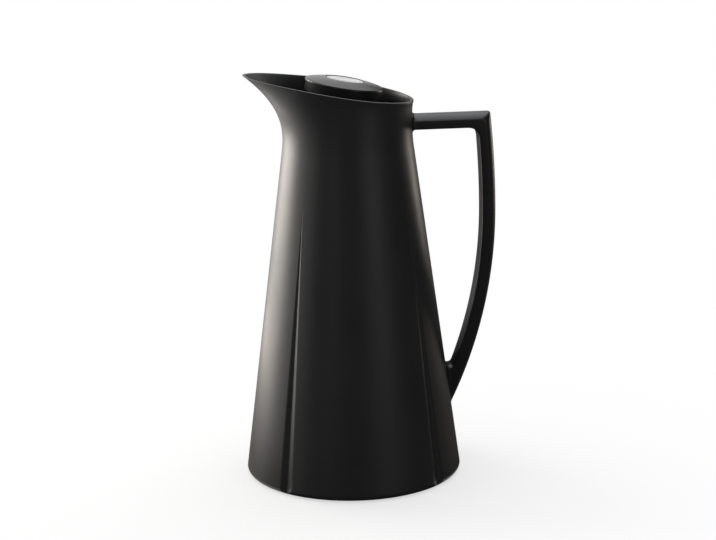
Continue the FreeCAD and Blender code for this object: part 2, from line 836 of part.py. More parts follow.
foot_ring = turned(
    "foot_ring",
    [
        (foot_bore, ZERO, ("round", s.foot_ring_round)),
        (s.foot_ring_radius, ZERO, ("round", s.foot_ring_round)),
        (s.foot_ring_radius, foot_top),
        (foot_bore, foot_top),
    ],
)

base_cushion = turned(
    "base_cushion",
    [
        (s.cushion_bore_radius, plate_top),
        (s.cushion_radius, plate_top),
        (s.cushion_radius, s.flask_bottom_height),
        (s.cushion_bore_radius, s.flask_bottom_height),
    ],
)

# Flask: each glass wall follows the outline of the flask at its own depth below the outside.
inner_depth = s.glass_wall + s.vacuum_gap
bead_bottom = s.flask_lip_height - s.flask_lip
neck_bore = s.flask_neck_radius - s.glass_wall * 2 - s.neck_vacuum_gap


def flask_side(depth, neck_radius, top):
    """Half outline of one glass surface from its bottom corner up to its neck."""
    return [
        (s.flask_radius - depth, s.flask_bottom_height + depth, ("round", s.flask_bottom_round - depth)),
        (s.flask_radius - depth, s.flask_shoulder_height, ("round", s.flask_shoulder_round - depth)),
        (neck_radius, s.flask_neck_height, ("round", s.flask_neck_round + depth)),
        (neck_radius, top),
    ]


glass_outer_wall = turned(
    "glass_outer_wall",
    [
        (ZERO, s.flask_bottom_height - s.tip_length),
        (s.tip_radius / 2, s.flask_bottom_height - s.tip_length),
        (s.tip_radius, s.flask_bottom_height),
        *flask_side(ZERO, s.flask_neck_radius, s.flask_lip_height)[:3],
        (s.flask_neck_radius, s.flask_lip_height, ("round", s.flask_lip_round)),
        (neck_bore, s.flask_lip_height, ("round", s.flask_lip_round)),
        (neck_bore, bead_bottom),
        (s.flask_neck_radius - s.glass_wall, bead_bottom),
        *flask_side(s.glass_wall, s.flask_neck_radius - s.glass_wall, bead_bottom)[2::-1],
        (ZERO, s.flask_bottom_height + s.glass_wall),
    ],
)

glass_inner_wall = turned(
    "glass_inner_wall",
    [
        (ZERO, s.flask_bottom_height + inner_depth),
        *flask_side(inner_depth, neck_bore + s.glass_wall, bead_bottom),
        *flask_side(inner_depth + s.glass_wall, neck_bore, bead_bottom)[::-1],
        (ZERO, s.flask_bottom_height + inner_depth + s.glass_wall),
    ],
)

pad_outside = v.flask_radius - v.glass_wall - v.pad_gap
pad_inside = v.flask_radius - float(inner_depth) + v.pad_gap
pad_section = Part.Face(
    Part.makePolygon(
        [
            Vector(radius, 0, v.pad_height + rise)
            for radius, rise in (
                (pad_inside, -v.pad_length / 2),
                (pad_outside, -v.pad_length / 2),
                (pad_outside, v.pad_length / 2),
                (pad_inside, v.pad_length / 2),
                (pad_inside, -v.pad_length / 2),
            )
        ]
    )
)
pad = pad_section.revolve(Vector(0, 0, 0), Vector(0, 0, 1), v.pad_angle)
glass_spacers = feature("glass_spacers", Part.Compound(around_axis(pad, v.pad_count)))

neck_gasket = turned(
    "neck_gasket",
    [
        (s.mouth_radius + s.gasket_edge, s.flask_lip_height),
        (s.flask_neck_radius, s.flask_lip_height),
        (s.flask_neck_radius + s.gasket_edge, hub_bottom),
        (s.mouth_radius, hub_bottom),
    ],
)

# Pouring collar, turned about the jug's axis, with the tilted socket added and bored.
edge_low = cone_radius(s.collar_edge_bottom_height) - s.shell_wall - s.collar_gap
edge_high = waist_radius - s.shell_wall - s.collar_gap
edge_bore = edge_high - s.collar_edge_wall
floor_top = s.lid_height - s.collar_floor_drop
socket_outside = s.socket_radius + s.socket_wall


def edge_radius(height):
    """Radius of the collar's wedged edge at a height."""
    share = (height - s.collar_edge_bottom_height) / (s.collar_edge_top_height - s.collar_edge_bottom_height)
    return edge_low - (edge_low - edge_high) * share


oring_top = (s.collar_edge_bottom_height + s.collar_edge_top_height) / 2
oring_bottom = oring_top - s.oring_width
collar_turning = turned(
    "collar_turning",
    [
        (ZERO, hub_bottom),
        (s.collar_hub_radius, hub_bottom),
        (s.collar_hub_radius, s.collar_edge_bottom_height + s.collar_floor_wall),
        (edge_bore, s.collar_edge_bottom_height + s.collar_floor_wall),
        (edge_bore, s.collar_edge_bottom_height),
        (edge_low, s.collar_edge_bottom_height),
        (edge_radius(oring_bottom), oring_bottom),
        (edge_radius(oring_bottom) - s.oring_sink, oring_bottom),
        (edge_radius(oring_bottom) - s.oring_sink, oring_top),
        (edge_radius(oring_top), oring_top),
        (edge_high, s.collar_edge_top_height),
        (edge_bore, s.collar_edge_top_height),
        (socket_outside, floor_top),
        (ZERO, floor_top),
    ],
)
collar_oring = turned(
    "collar_oring",
    [
        (edge_radius(oring_bottom) - s.oring_sink + s.oring_gap, oring_bottom + s.oring_gap),
        (edge_radius(oring_bottom), oring_bottom + s.oring_gap),
        (edge_radius(oring_top), oring_top - s.oring_gap),
        (edge_radius(oring_bottom) - s.oring_sink + s.oring_gap, oring_top - s.oring_gap),
    ],
)


def along_stopper(name, radius, bottom_drop, top_drop):
    """Cylinder on the stopper's axis between two depths below the lid's edge."""
    rod = Part.makeCylinder(radius, bottom_drop - top_drop, Vector(0, 0, -bottom_drop))
    rod.Placement = stopper_place
    return feature(name, rod)


def thread_rib(root_radius, crest_radius, bottom, turn):
    """One rib of the thread, lofted through its section along the helix."""
    sections = []
    steps = 8
    for number in range(steps + 1):
        angle = math.radians(turn + v.thread_span * number / steps)
        height = bottom + v.thread_lead * v.thread_span / 360 * number / steps
        corners = [
            Vector(radius * math.cos(angle), radius * math.sin(angle), height + rise)
            for radius, rise in (
                (root_radius, -v.thread_root_width / 2),
                (crest_radius, -v.thread_crest_width / 2),
                (crest_radius, v.thread_crest_width / 2),
                (root_radius, v.thread_root_width / 2),
            )
        ]
        sections.append(Part.makePolygon([*corners, corners[0]]))
    return Part.makeLoft(sections, True)


def thread(name, root_radius, crest_radius, turn):
    rib = thread_rib(root_radius, crest_radius, -v.thread_bottom_drop, turn)
    ribs = feature(name, Part.Compound(around_axis(rib, v.thread_starts)))
    seat_in_stopper(ribs)
    return ribs


# The ribs of the socket stand half a pitch above those of the plug on the same helix.
half_pitch_turn = 180 / v.thread_starts
socket_tube = along_stopper("socket_tube", float(socket_outside), v.seat_drop, v.socket_drop)
socket_bore = along_stopper("socket_bore", v.socket_radius, v.seat_drop, v.socket_drop - v.cut_overrun)
over_socket = along_stopper("over_socket", float(socket_outside), v.socket_drop, 0)
chamber_bore = along_stopper("chamber_bore", v.chamber_radius, float(chamber_drop), v.seat_drop - v.cut_overrun)
mouth_bore = feature(
    "mouth_bore",
    Part.makeCylinder(
        v.mouth_radius,
        v.mouth_top_height - float(hub_bottom) + v.cut_overrun,
        Vector(0, 0, float(hub_bottom) - v.cut_overrun),
    ),
)
collar_blank = fuse("collar_blank", collar_turning, socket_tube)
collar_bored = cut("collar_bored", collar_blank, over_socket, socket_bore, chamber_bore, mouth_bore)
socket_thread = thread(
    "socket_thread", v.socket_radius + v.thread_sink, v.socket_radius - v.thread_depth, half_pitch_turn
)
pouring_collar = fuse("pouring_collar", collar_bored, socket_thread)

# Stopper plug.
flange_radius = lid_skirt_bore - s.lid_gap
plug_bore = s.plug_radius - s.plug_wall
well_outside = s.well_radius + s.well_wall
well_bottom_drop = s.well_drop + s.well_floor
boss_bottom_drop = well_bottom_drop + s.stem_boss_length
stem_bore = s.stem_radius + s.stem_gap
stem_seal_bore = s.stem_radius + s.stem_seal_wall
plug_turning = doc.addObject("PartDesign::Body", "plug_turning")
plug_section = attached_sketch(plug_turning, "plug_section")
draw_outline(
    plug_section,
    [
        (s.well_radius, -ledge_drop),
        (s.well_radius, -s.well_drop),
        (stem_bore, -s.well_drop),
        (stem_bore, -(boss_bottom_drop - s.stem_seal_length)),
        (stem_seal_bore, -(boss_bottom_drop - s.stem_seal_length)),
        (stem_seal_bore, -boss_bottom_drop),
        (s.stem_boss_radius, -boss_bottom_drop),
        (s.stem_boss_radius, -well_bottom_drop),
        (well_outside, -well_bottom_drop),
        (well_outside, -flange_bottom_drop),
        (plug_bore, -flange_bottom_drop),
        (plug_bore, -(s.shoulder_drop - s.nose_floor)),
        (s.nose_radius - s.nose_wall, -(s.shoulder_drop + s.nose_floor / 2)),
        (s.nose_radius - s.nose_wall, -(s.nose_drop - s.nose_floor)),
        (s.port_radius, -(s.nose_drop - s.nose_floor)),
        (s.port_radius, -s.nose_drop),
        (s.nose_radius, -s.nose_drop),
        (s.nose_radius, -s.shoulder_drop),
        (s.plug_radius, -s.shoulder_drop),
        (s.plug_radius, -flange_bottom_drop),
        (flange_radius, -flange_bottom_drop),
        (flange_radius, -ledge_drop),
    ],
)
plug_solid = plug_turning.newObject("PartDesign::Revolution", "plug_solid")
plug_solid.Profile = plug_section
plug_solid.ReferenceAxis = (plug_section, ["V_Axis"])
plug_solid.Angle = 360
window_section = attached_sketch(plug_turning, "window_section")
draw_outline(
    window_section,
    [
        (plug_bore - s.cut_overrun / 2, -(s.socket_drop - s.window_sill)),
        (s.plug_radius + s.cut_overrun, -(s.socket_drop - s.window_sill)),
        (s.plug_radius + s.cut_overrun, -(flange_bottom_drop + s.window_sill)),
        (plug_bore - s.cut_overrun / 2, -(flange_bottom_drop + s.window_sill)),
    ],
)
doc.recompute()
window = plug_turning.newObject("PartDesign::Groove", "plug_window")
window.Profile = window_section
window.ReferenceAxis = (window_section, ["V_Axis"])
window.setExpression("Angle", "Sizes.window_angle * 1 deg")
doc.recompute()
windows = plug_turning.newObject("PartDesign::PolarPattern", "plug_windows")
windows.Originals = [window]
windows.Axis = (plug_section, ["V_Axis"])
windows.Angle = 360
windows.setExpression("Occurrences", "Sizes.window_count")
plug_turning.Tip = windows
seat_in_stopper(plug_turning)
plug_thread = thread("plug_thread", v.plug_radius - v.thread_sink, v.plug_radius + v.thread_depth, 0)
stopper_plug = fuse("stopper_plug", plug_turning, plug_thread)

stopper_seal = turned_in_stopper(
    "stopper_seal",
    [
        (s.nose_radius + s.seal_gap, -(s.seat_drop - s.seal_gap)),
        (s.seal_radius, -(s.seat_drop - s.seal_gap)),
        (s.seal_radius, -(s.shoulder_drop + s.seal_gap)),
        (s.nose_radius + s.seal_gap, -(s.shoulder_drop + s.seal_gap)),
    ],
)

# Lid cap: a shallow dome with a hole for the button, a skirt and a ledge over the plug's flange.
dome = (s.lid_radius * s.lid_radius + s.lid_crown * s.lid_crown) / (s.lid_crown * 2)
hole_radius = s.button_radius + s.button_gap
hole_top = s.lid_crown - dome + root_of(dome * dome - hole_radius * hole_radius)
lid_cap = turned_in_stopper(
    "lid_cap",
    [
        (hole_radius, -s.lid_under_drop),
        (lid_skirt_bore - s.lid_ledge, -s.lid_under_drop),
        (lid_skirt_bore - s.lid_ledge, -ledge_drop),
        (lid_skirt_bore, -ledge_drop),
        (lid_skirt_bore, -s.lid_skirt_drop),
        (s.lid_skirt_radius, -s.lid_skirt_drop),
        (s.lid_skirt_radius, -s.lid_edge),
        (s.lid_radius, -s.lid_edge),
        (s.lid_radius, ZERO, ("left", dome)),
        (hole_radius, hole_top),
    ],
)

# Push button: a pressed steel dish over a plastic carrier.
dish = (s.button_radius * s.button_radius + s.button_dish * s.button_dish) / (s.button_dish * 2)
button_bore = s.button_radius - s.button_wall
skirt_bottom = s.button_edge_rise - s.button_skirt
push_button = turned_in_stopper(
    "push_button",
    [
        (ZERO, button_under),
        (button_bore, button_under),
        (button_bore, skirt_bottom),
        (s.button_radius, skirt_bottom),
        (s.button_radius, s.button_edge_rise, ("right", dish)),
        (ZERO, button_middle),
    ],
)

guide_radius = s.well_radius - s.carrier_guide_gap
guide_bottom = s.button_travel + s.carrier_well_gap - s.well_drop
stem_top = button_under - s.stem_top_sink
clip_pocket_floor = button_under - s.clip_pocket
clip_pocket_radius = s.clip_radius + s.clip_pocket_gap
button_carrier = turned_in_stopper(
    "button_carrier",
    [
        (clip_pocket_radius, button_under),
        (clip_pocket_radius, clip_pocket_floor),
        (stem_bore, clip_pocket_floor),
        (stem_bore, guide_bottom),
        (s.carrier_hub_radius, guide_bottom),
        (s.carrier_hub_radius, disc_under),
        (guide_radius - s.carrier_guide_wall, disc_under),
        (guide_radius - s.carrier_guide_wall, guide_bottom),
        (guide_radius, guide_bottom),
        (guide_radius, disc_under),
        (button_bore - s.carrier_gap, disc_under),
        (button_bore - s.carrier_gap, button_under),
    ],
)

# Valve stem with a groove for its clip and a bore for the valve screw.
clip_bottom = clip_pocket_floor + s.clip_gap
valve_screw_bore = s.valve_screw_shank_radius + s.screw_pilot_gap
valve_stem = turned_in_stopper(
    "valve_stem",
    [
        (ZERO, -(plate_face_drop - s.valve_screw_bite - s.clip_wall)),
        (valve_screw_bore, -(plate_face_drop - s.valve_screw_bite - s.clip_wall)),
        (valve_screw_bore, -plate_face_drop),
        (s.stem_radius, -plate_face_drop),
        (s.stem_radius, clip_bottom - s.clip_gap),
        (s.stem_radius - s.stem_groove, clip_bottom - s.clip_gap),
        (s.stem_radius - s.stem_groove, clip_bottom + s.clip_wall + s.clip_gap),
        (s.stem_radius, clip_bottom + s.clip_wall + s.clip_gap),
        (s.stem_radius, stem_top),
        (ZERO, stem_top),
    ],
)
stem_clip = turned_in_stopper(
    "stem_clip",
    [
        (s.stem_radius - s.stem_groove + s.clip_gap, clip_bottom),
        (s.clip_radius, clip_bottom),
        (s.clip_radius, clip_bottom + s.clip_wall),
        (s.stem_radius - s.stem_groove + s.clip_gap, clip_bottom + s.clip_wall),
    ],
)
stem_seal = turned_in_stopper(
    "stem_seal",
    [
        (stem_bore, -boss_bottom_drop),
        (stem_seal_bore - s.stem_seal_gap, -boss_bottom_drop),
        (stem_seal_bore - s.stem_seal_gap, -(boss_bottom_drop - s.stem_seal_length)),
        (stem_bore, -(boss_bottom_drop - s.stem_seal_length)),
    ],
)
valve_plate = turned_in_stopper(
    "valve_plate",
    [
        (s.valve_screw_shank_radius + s.screw_hole_gap, -plate_under_drop),
        (s.valve_plate_radius, -plate_under_drop),
        (s.valve_plate_radius, -plate_face_drop),
        (s.valve_screw_shank_radius + s.screw_hole_gap, -plate_face_drop),
    ],
)
valve_seal = turned_in_stopper(
    "valve_seal",
    [
        (s.valve_seal_bore_radius, -plate_face_drop),
        (s.valve_seal_radius, -plate_face_drop),
        (s.valve_seal_radius, -(s.nose_drop + s.valve_gap)),
        (s.valve_seal_bore_radius, -(s.nose_drop + s.valve_gap)),
    ],
)
valve_screw = feature(
    "valve_screw",
    screw(
        v.valve_screw_shank_radius,
        v.valve_plate_wall + v.valve_screw_bite,
        v.valve_screw_head_radius,
        v.valve_screw_head,
    ),
)
valve_screw.Placement = stopper_place.multiply(Placement(Vector(0, 0, -float(plate_under_drop)), Rotation()))


def tangent_arc(start, direction, end):
    """Arc that leaves start along a direction and ends at end."""
    chord = end - start
    along = Vector(chord).normalize()
    side = (direction - along * direction.dot(along)).normalize()
    rise = chord.Length / 2 * math.tan(direction.getAngle(chord) / 2)
    return Part.Arc(start, start + chord / 2 + side * rise, end).toShape()


def spring_wire(radius, bottom, top, turns):
    """Helix as pairs of tangent arcs, one pair for each quarter turn."""
    steps = 4 * int(turns)
    climb = (top - bottom) / (2 * math.pi * turns)

    def point(number):
        angle = math.pi / 2 * number
        return Vector(radius * math.cos(angle), radius * math.sin(angle), bottom + climb * angle)

    def heading(number):
        angle = math.pi / 2 * number
        return Vector(-radius * math.sin(angle), radius * math.cos(angle), climb).normalize()

    arcs = []
    for number in range(steps):
        start, end = point(number), point(number + 1)
        leave, arrive = heading(number), heading(number + 1)
        span = end - start
        both = leave + arrive
        a = both.dot(both) - 4
        b = -2 * span.dot(both)
        c = span.dot(span)
        reach = (-b - math.sqrt(b * b - 4 * a * c)) / (2 * a)
        middle = (start + leave * reach + end - arrive * reach) / 2
        joint = (end - arrive * reach - start - leave * reach).normalize()
        arcs.append(tangent_arc(start, leave, middle))
        arcs.append(tangent_arc(middle, joint, end))
    profile = Part.Wire(Part.Circle(point(0), heading(0), v.spring_wire_radius).toShape())
    return Part.Wire(arcs).makePipeShell([profile], True, False)


spring_clear = v.spring_wire_radius + v.spring_gap
return_spring = feature(
    "return_spring",
    spring_wire(
        v.spring_radius, -v.well_drop + spring_clear, float(disc_under) - spring_clear, v.spring_turns
    ),
)
seat_in_stopper(return_spring)

SUBPARTS = (
    outer_shell, handle, handle_screws, pouring_collar, collar_oring, neck_gasket,
    glass_outer_wall, glass_inner_wall, glass_spacers, base_cushion, base_plate, base_screws, foot_ring,
    stopper_seal, lid_cap, stopper_plug, stem_seal, return_spring,
    push_button, button_carrier, valve_stem, stem_clip, valve_plate, valve_seal, valve_screw,
)

doc.recompute()
failed = [item.Name for item in doc.Objects if {"Invalid", "Error"} & set(item.State)]
if failed:
    raise RuntimeError(f"objects that did not compute: {failed}")
for piece in SUBPARTS:
    if piece.Shape.isNull() or not piece.Shape.isValid() or not piece.Shape.Solids:
        raise RuntimeError(f"{piece.Label} has no valid solid")

os.makedirs("parts", exist_ok=True)
for piece in SUBPARTS:
    piece.Shape.exportStep(f"parts/{piece.Label}.step")
    volume = piece.Shape.Volume / 1000
    print(f"{piece.Label}: {len(piece.Shape.Solids)} solid(s), {volume:.2f} cm3")
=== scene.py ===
import math

import bmesh
import bpy
import numpy as np
from mathutils import Euler, Matrix, Vector


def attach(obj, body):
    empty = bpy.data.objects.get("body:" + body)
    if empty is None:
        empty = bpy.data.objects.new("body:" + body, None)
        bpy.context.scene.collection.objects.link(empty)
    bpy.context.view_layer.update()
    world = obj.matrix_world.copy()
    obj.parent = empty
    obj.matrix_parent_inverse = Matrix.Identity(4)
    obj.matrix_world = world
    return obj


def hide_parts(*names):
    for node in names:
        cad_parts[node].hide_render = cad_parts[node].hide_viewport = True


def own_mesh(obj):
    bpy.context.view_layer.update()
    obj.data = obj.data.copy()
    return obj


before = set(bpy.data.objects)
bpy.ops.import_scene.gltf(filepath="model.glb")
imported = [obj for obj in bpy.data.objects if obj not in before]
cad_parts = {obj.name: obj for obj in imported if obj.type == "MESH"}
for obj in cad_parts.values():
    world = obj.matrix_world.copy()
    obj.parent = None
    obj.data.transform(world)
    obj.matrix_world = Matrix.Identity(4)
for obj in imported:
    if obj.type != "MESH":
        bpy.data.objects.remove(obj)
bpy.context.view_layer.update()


# Outer shell
# One moulding in satin black ABS: a straight cone that waists in under a tilted rim and is drawn out
# into a spout. Four shallow grooves fade in down the cone. The base plate is screwed in from below.
# Lengths in this file are millimetres until a mesh is made.
base_radius = 73.5
base_edge_height = 4.0
base_edge_round = 3.2
base_edge_turn = math.radians(-71.8)
cone_slope = 0.13235
neck_height = 225.0
rim_height = 264.6
rim_tilt = math.radians(9.7)
waist_radius = 43.202
waist_swell = 1.048
swell_fade = 5
rim_flare = 1.3
flare_growth = 10
spout_reach = 25.3
spout_half_angle = math.radians(36.0)
spout_roundness = 1.75
spout_growth = 2.85
shell_wall = 3.0
lip_wall = 2.0
lip_round = 0.8
lip_inner_round = 0.35
groove_top_height = 195.0
groove_foot_height = -1.2
groove_half_width = 5.2
groove_depth = 2.1
groove_least_half_width = 0.35
groove_crest_share = 0.15
groove_valley_share = 0.12
groove_column_shares = (0.06, 0.12, 0.3, 0.6, 0.85, 0.925, 1.0, 1.075, 1.15, 1.4)
columns_between_grooves = 34
foot_rows = 9
wall_rows = 46
neck_rows = 24
inside_rows = 20
wall_start_rise = 1.2
lip_run_in = (0.93, 0.955, 0.975)


def cone_radius(height):
    """Outside radius of the cone: it loses the slope for each millimetre of height."""
    return base_radius - cone_slope * (height - base_edge_height)


def neck_radius(share):
    """Radius of the neck away from the spout, by the share of the way up: the waist, plus a swell that
    fades from the cone and a flare near the rim."""
    return waist_radius + waist_swell * (1 - share) ** swell_fade + rim_flare * share**flare_growth


def neck_points(angle, share, inset):
    """Neck above the cone, with a bell of spout that grows with the share of the way up. Its level planes
    fan over to the tilt of the rim, so height falls with x. Angle 0 is the spout, towards -X."""
    around = np.abs((angle + np.pi) % (2 * np.pi) - np.pi)
    bell = np.exp(-((around / spout_half_angle) ** spout_roundness))
    radius = neck_radius(share) + spout_reach * share**spout_growth * bell - inset
    x = -radius * np.cos(angle)
    level = neck_height + share * (rim_height - neck_height)
    return np.stack([x, radius * np.sin(angle), level - np.tan(rim_tilt * share) * x], axis=-1)


def ring_points(angle, radius, height):
    """Points at an angle from the spout, a radius from the axis and a height."""
    angle, radius, height = np.broadcast_arrays(angle, radius, height)
    return np.stack([-radius * np.cos(angle), radius * np.sin(angle), height], axis=-1)


def groove_share(across):
    """Section of a groove: a V from 0 at its crests, across = 1, to 1 in its valley, with parabolas that
    round the crests and the valley."""
    x = 1 - np.abs(across)
    crest = groove_crest_share
    valley = groove_valley_share
    depth = np.where(x > crest, x, np.where(x < -crest, 0.0, (x + crest) ** 2 / (4 * crest)))
    bottom = 1 - across**2 / (2 * valley) - valley / 2
    return np.where(np.abs(across) < valley, bottom, depth)


def turned_corner(corner, back, onward, reach, steps):
    """Rounded corner: the parabola that leaves one edge and meets the next at a reach from the corner."""
    s = np.linspace(0, 1, steps)[:, None, None]
    return corner[None] + reach * ((1 - s) ** 2 * back[None] + s**2 * onward[None])


def unit(vectors):
    """Vectors scaled to length 1."""
    return vectors / np.linalg.norm(vectors, axis=-1, keepdims=True)


def surface_object(name, points, rows_close=False):
    """Quads over rows and columns of points whose columns run in a ring. Rows close into a ring too, or
    the first and last row end in poles. Points that fall together are merged and faces turned outwards."""
    merge_distance = 2e-7
    rows, columns = points.shape[:2]
    index = np.arange(rows * columns).reshape(rows, columns)
    nexts = np.roll(index, -1, axis=1)
    low = index if rows_close else index[:-1]
    low_next = nexts if rows_close else nexts[:-1]
    high = np.roll(index, -1, axis=0)[: len(low)]
    high_next = np.roll(nexts, -1, axis=0)[: len(low)]
    quads = np.stack([low, low_next, high_next, high], axis=-1).reshape(-1, 4)
    mesh = bpy.data.meshes.new(name)
    mesh.from_pydata((points.reshape(-1, 3) / 1000).tolist(), [], quads.tolist())
    work = bmesh.new()
    work.from_mesh(mesh)
    bmesh.ops.remove_doubles(work, verts=work.verts, dist=merge_distance)
    bmesh.ops.recalc_face_normals(work, faces=work.faces)
    work.to_mesh(mesh)
    work.free()
    mesh.shade_smooth()
    piece = bpy.data.objects.new(name, mesh)
    bpy.context.collection.objects.link(piece)
    return piece


def linear(hex_colour):
    """Linear RGBA of an sRGB hex colour."""
    parts = np.array([int(hex_colour[i : i + 2], 16) for i in (1, 3, 5)]) / 255
    return (*np.where(parts <= 0.04045, parts / 12.92, ((parts + 0.055) / 1.055) ** 2.4).tolist(), 1.0)


def add_node(tree, kind, feeds=None, **settings):
    """Adds one node with its settings; feeds are values for its inputs, or the outputs linked to them."""
    made = tree.nodes.new(kind)
    for key, value in settings.items():
        setattr(made, key, value)
    for key, value in (feeds or {}).items():
        if isinstance(value, bpy.types.NodeSocket):
            tree.links.new(value, made.inputs[key])
        else:
            made.inputs[key].default_value = value
    return made


def empty_material(name):
    """Material with an empty tree, and the tree's Object coordinates in metres."""
    material = bpy.data.materials.new(name)
    material.use_nodes = True
    tree = material.node_tree
    tree.nodes.clear()
    place = add_node(tree, "ShaderNodeTexCoord").outputs["Object"]
    return material, tree, place


def finish_material(tree, shader):
    """Links a shader to the material's output."""
    add_node(tree, "ShaderNodeOutputMaterial", {"Surface": shader.outputs["BSDF"]})


def moulded_plastic(name, colour, worn_colour, roughness, grain_depth):
    """Injection-moulded ABS from an eroded tool: a fine even grain that spreads the highlights, slow
    patches of gloss from the melt's flow, and a faint greying where hands polish it."""
    grain_size = 0.9
    patch_size = 45.0
    material, tree, place = empty_material(name)
    # The real grit is about 0.1 mm; it is drawn coarser so that it shows in a close view.
    grain = add_node(tree, "ShaderNodeTexNoise", {"Vector": place, "Scale": 1000 / grain_size, "Detail": 3.0})
    patches = add_node(tree, "ShaderNodeTexNoise", {"Vector": place, "Scale": 1000 / patch_size, "Detail": 2.0})
    gloss = add_node(
        tree,
        "ShaderNodeMapRange",
        {"Value": patches.outputs["Fac"], "From Min": 0.3, "From Max": 0.7,
         "To Min": roughness - 0.03, "To Max": roughness + 0.03},
    )
    tint = add_node(
        tree,
        "ShaderNodeMix",
        {"Factor": patches.outputs["Fac"], "A": linear(colour), "B": linear(worn_colour)},
        data_type="RGBA",
    )
    bump = add_node(
        tree,
        "ShaderNodeBump",
        {"Height": grain.outputs["Fac"], "Strength": grain_depth, "Distance": 0.0002},
    )
    shader = add_node(
        tree,
        "ShaderNodeBsdfPrincipled",
        {"Base Color": tint.outputs["Result"], "Roughness": gloss.outputs["Result"],
         "IOR": 1.5, "Normal": bump.outputs["Normal"]},
    )
    finish_material(tree, shader)
    return material


def shell_points():
    """Shell as one ring of rows: up the outside, over the lip, down the inside and back at the foot."""
    side = np.array(groove_column_shares)
    across = np.concatenate([-side[::-1], [0.0], side])
    between = np.arange(1, columns_between_grooves + 1) / (columns_between_grooves + 1)
    quarter = np.pi / 2
    middle = np.concatenate([np.zeros(len(across)), between * quarter])
    spread = np.concatenate([across, side[-1] * (1 - 2 * between)])
    in_groove = np.concatenate([across, np.full(len(between), 2.0)])
    column_angle = np.concatenate([middle + quarter * (number + 0.5) for number in range(4)])
    column_spread = np.tile(spread, 4)
    column_across = np.tile(in_groove, 4)

    foot_turn = np.linspace(base_edge_turn, math.atan(cone_slope), foot_rows)
    foot_height = base_edge_height + base_edge_round * np.sin(foot_turn)
    foot_radius = base_radius - base_edge_round + base_edge_round * np.cos(foot_turn)
    wall_height = np.linspace(base_edge_height + wall_start_rise, neck_height, wall_rows)
    height = np.concatenate([foot_height, wall_height])
    radius = np.concatenate([foot_radius, cone_radius(wall_height)])
    fade = np.clip((groove_top_height - height) / (groove_top_height - groove_foot_height), 0, 1)
    half_width = np.maximum(groove_half_width * fade, groove_least_half_width)
    angle = column_angle + column_spread * (half_width / cone_radius(height))[:, None]
    valley = cone_radius(height)[:, None] - (groove_depth * fade)[:, None] * groove_share(column_across)
    outside = ring_points(angle, np.minimum(radius[:, None], valley), height[:, None])

    neck_angle = angle[-1]
    share = np.concatenate([np.linspace(0, 0.9, neck_rows), lip_run_in])[:, None]
    neck = neck_points(neck_angle, share[1:], 0.0)
    step = 1e-3
    edge = neck_points(neck_angle, 1.0, 0.0)
    inner_edge = neck_points(neck_angle, 1.0, lip_wall)
    wall_down = unit(neck_points(neck_angle, 1.0 - step, 0.0) - edge)
    across_lip = unit(inner_edge - edge)
    inner_down = unit(neck_points(neck_angle, 1.0 - step, lip_wall) - inner_edge)
    lip = np.concatenate(
        [
            turned_corner(edge, wall_down, across_lip, lip_round, 7),
            turned_corner(inner_edge, -across_lip, inner_down, lip_inner_round, 5),
        ]
    )
    share = share[::-1]
    inside_neck = neck_points(neck_angle, share, shell_wall + (lip_wall - shell_wall) * share)
    inside_height = np.linspace(neck_height, foot_height[0], inside_rows)[1:, None]
    inside = ring_points(neck_angle, cone_radius(inside_height) - shell_wall, inside_height)
    return np.concatenate([outside, neck, lip, inside_neck, inside])


shell = surface_object("shell", shell_points(), rows_close=True)
shell.data.materials.append(moulded_plastic("satin_black_abs", "#141414", "#181818", 0.4, 0.06))
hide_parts("outer_shell")
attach(shell, "jug")


# Handle
# A solid ABS moulding with flat sides and a domed outer face: a level bar and a bowed grip that meet in
# a mitred corner. Its roots are moulded to the shell's outside, and two screws hold it from within.
handle_half_width = 8.0
handle_dome = 4.5
handle_depth = 10.0
handle_top_height = 246.8
handle_reach = 99.9
handle_reach_height = 180.0
upper_radius = 640.0
lower_radius = 310.0
edge_round = 0.45
inner_edge_round = 1.0
corner_outer_reach = 2.0
corner_inner_reach = 7.6
root_round = 2.2
crotch_round = 3.2
root_sink = 0.4
root_run_in = 7.0
root_gaps = (0.0, 0.12, 0.35, 0.75, 1.3, root_round, 3.2)
crotch_gaps = (3.4, 2.4, 1.7, 1.2, 0.8, 0.5, 0.28, 0.12, 0.0, -root_sink)


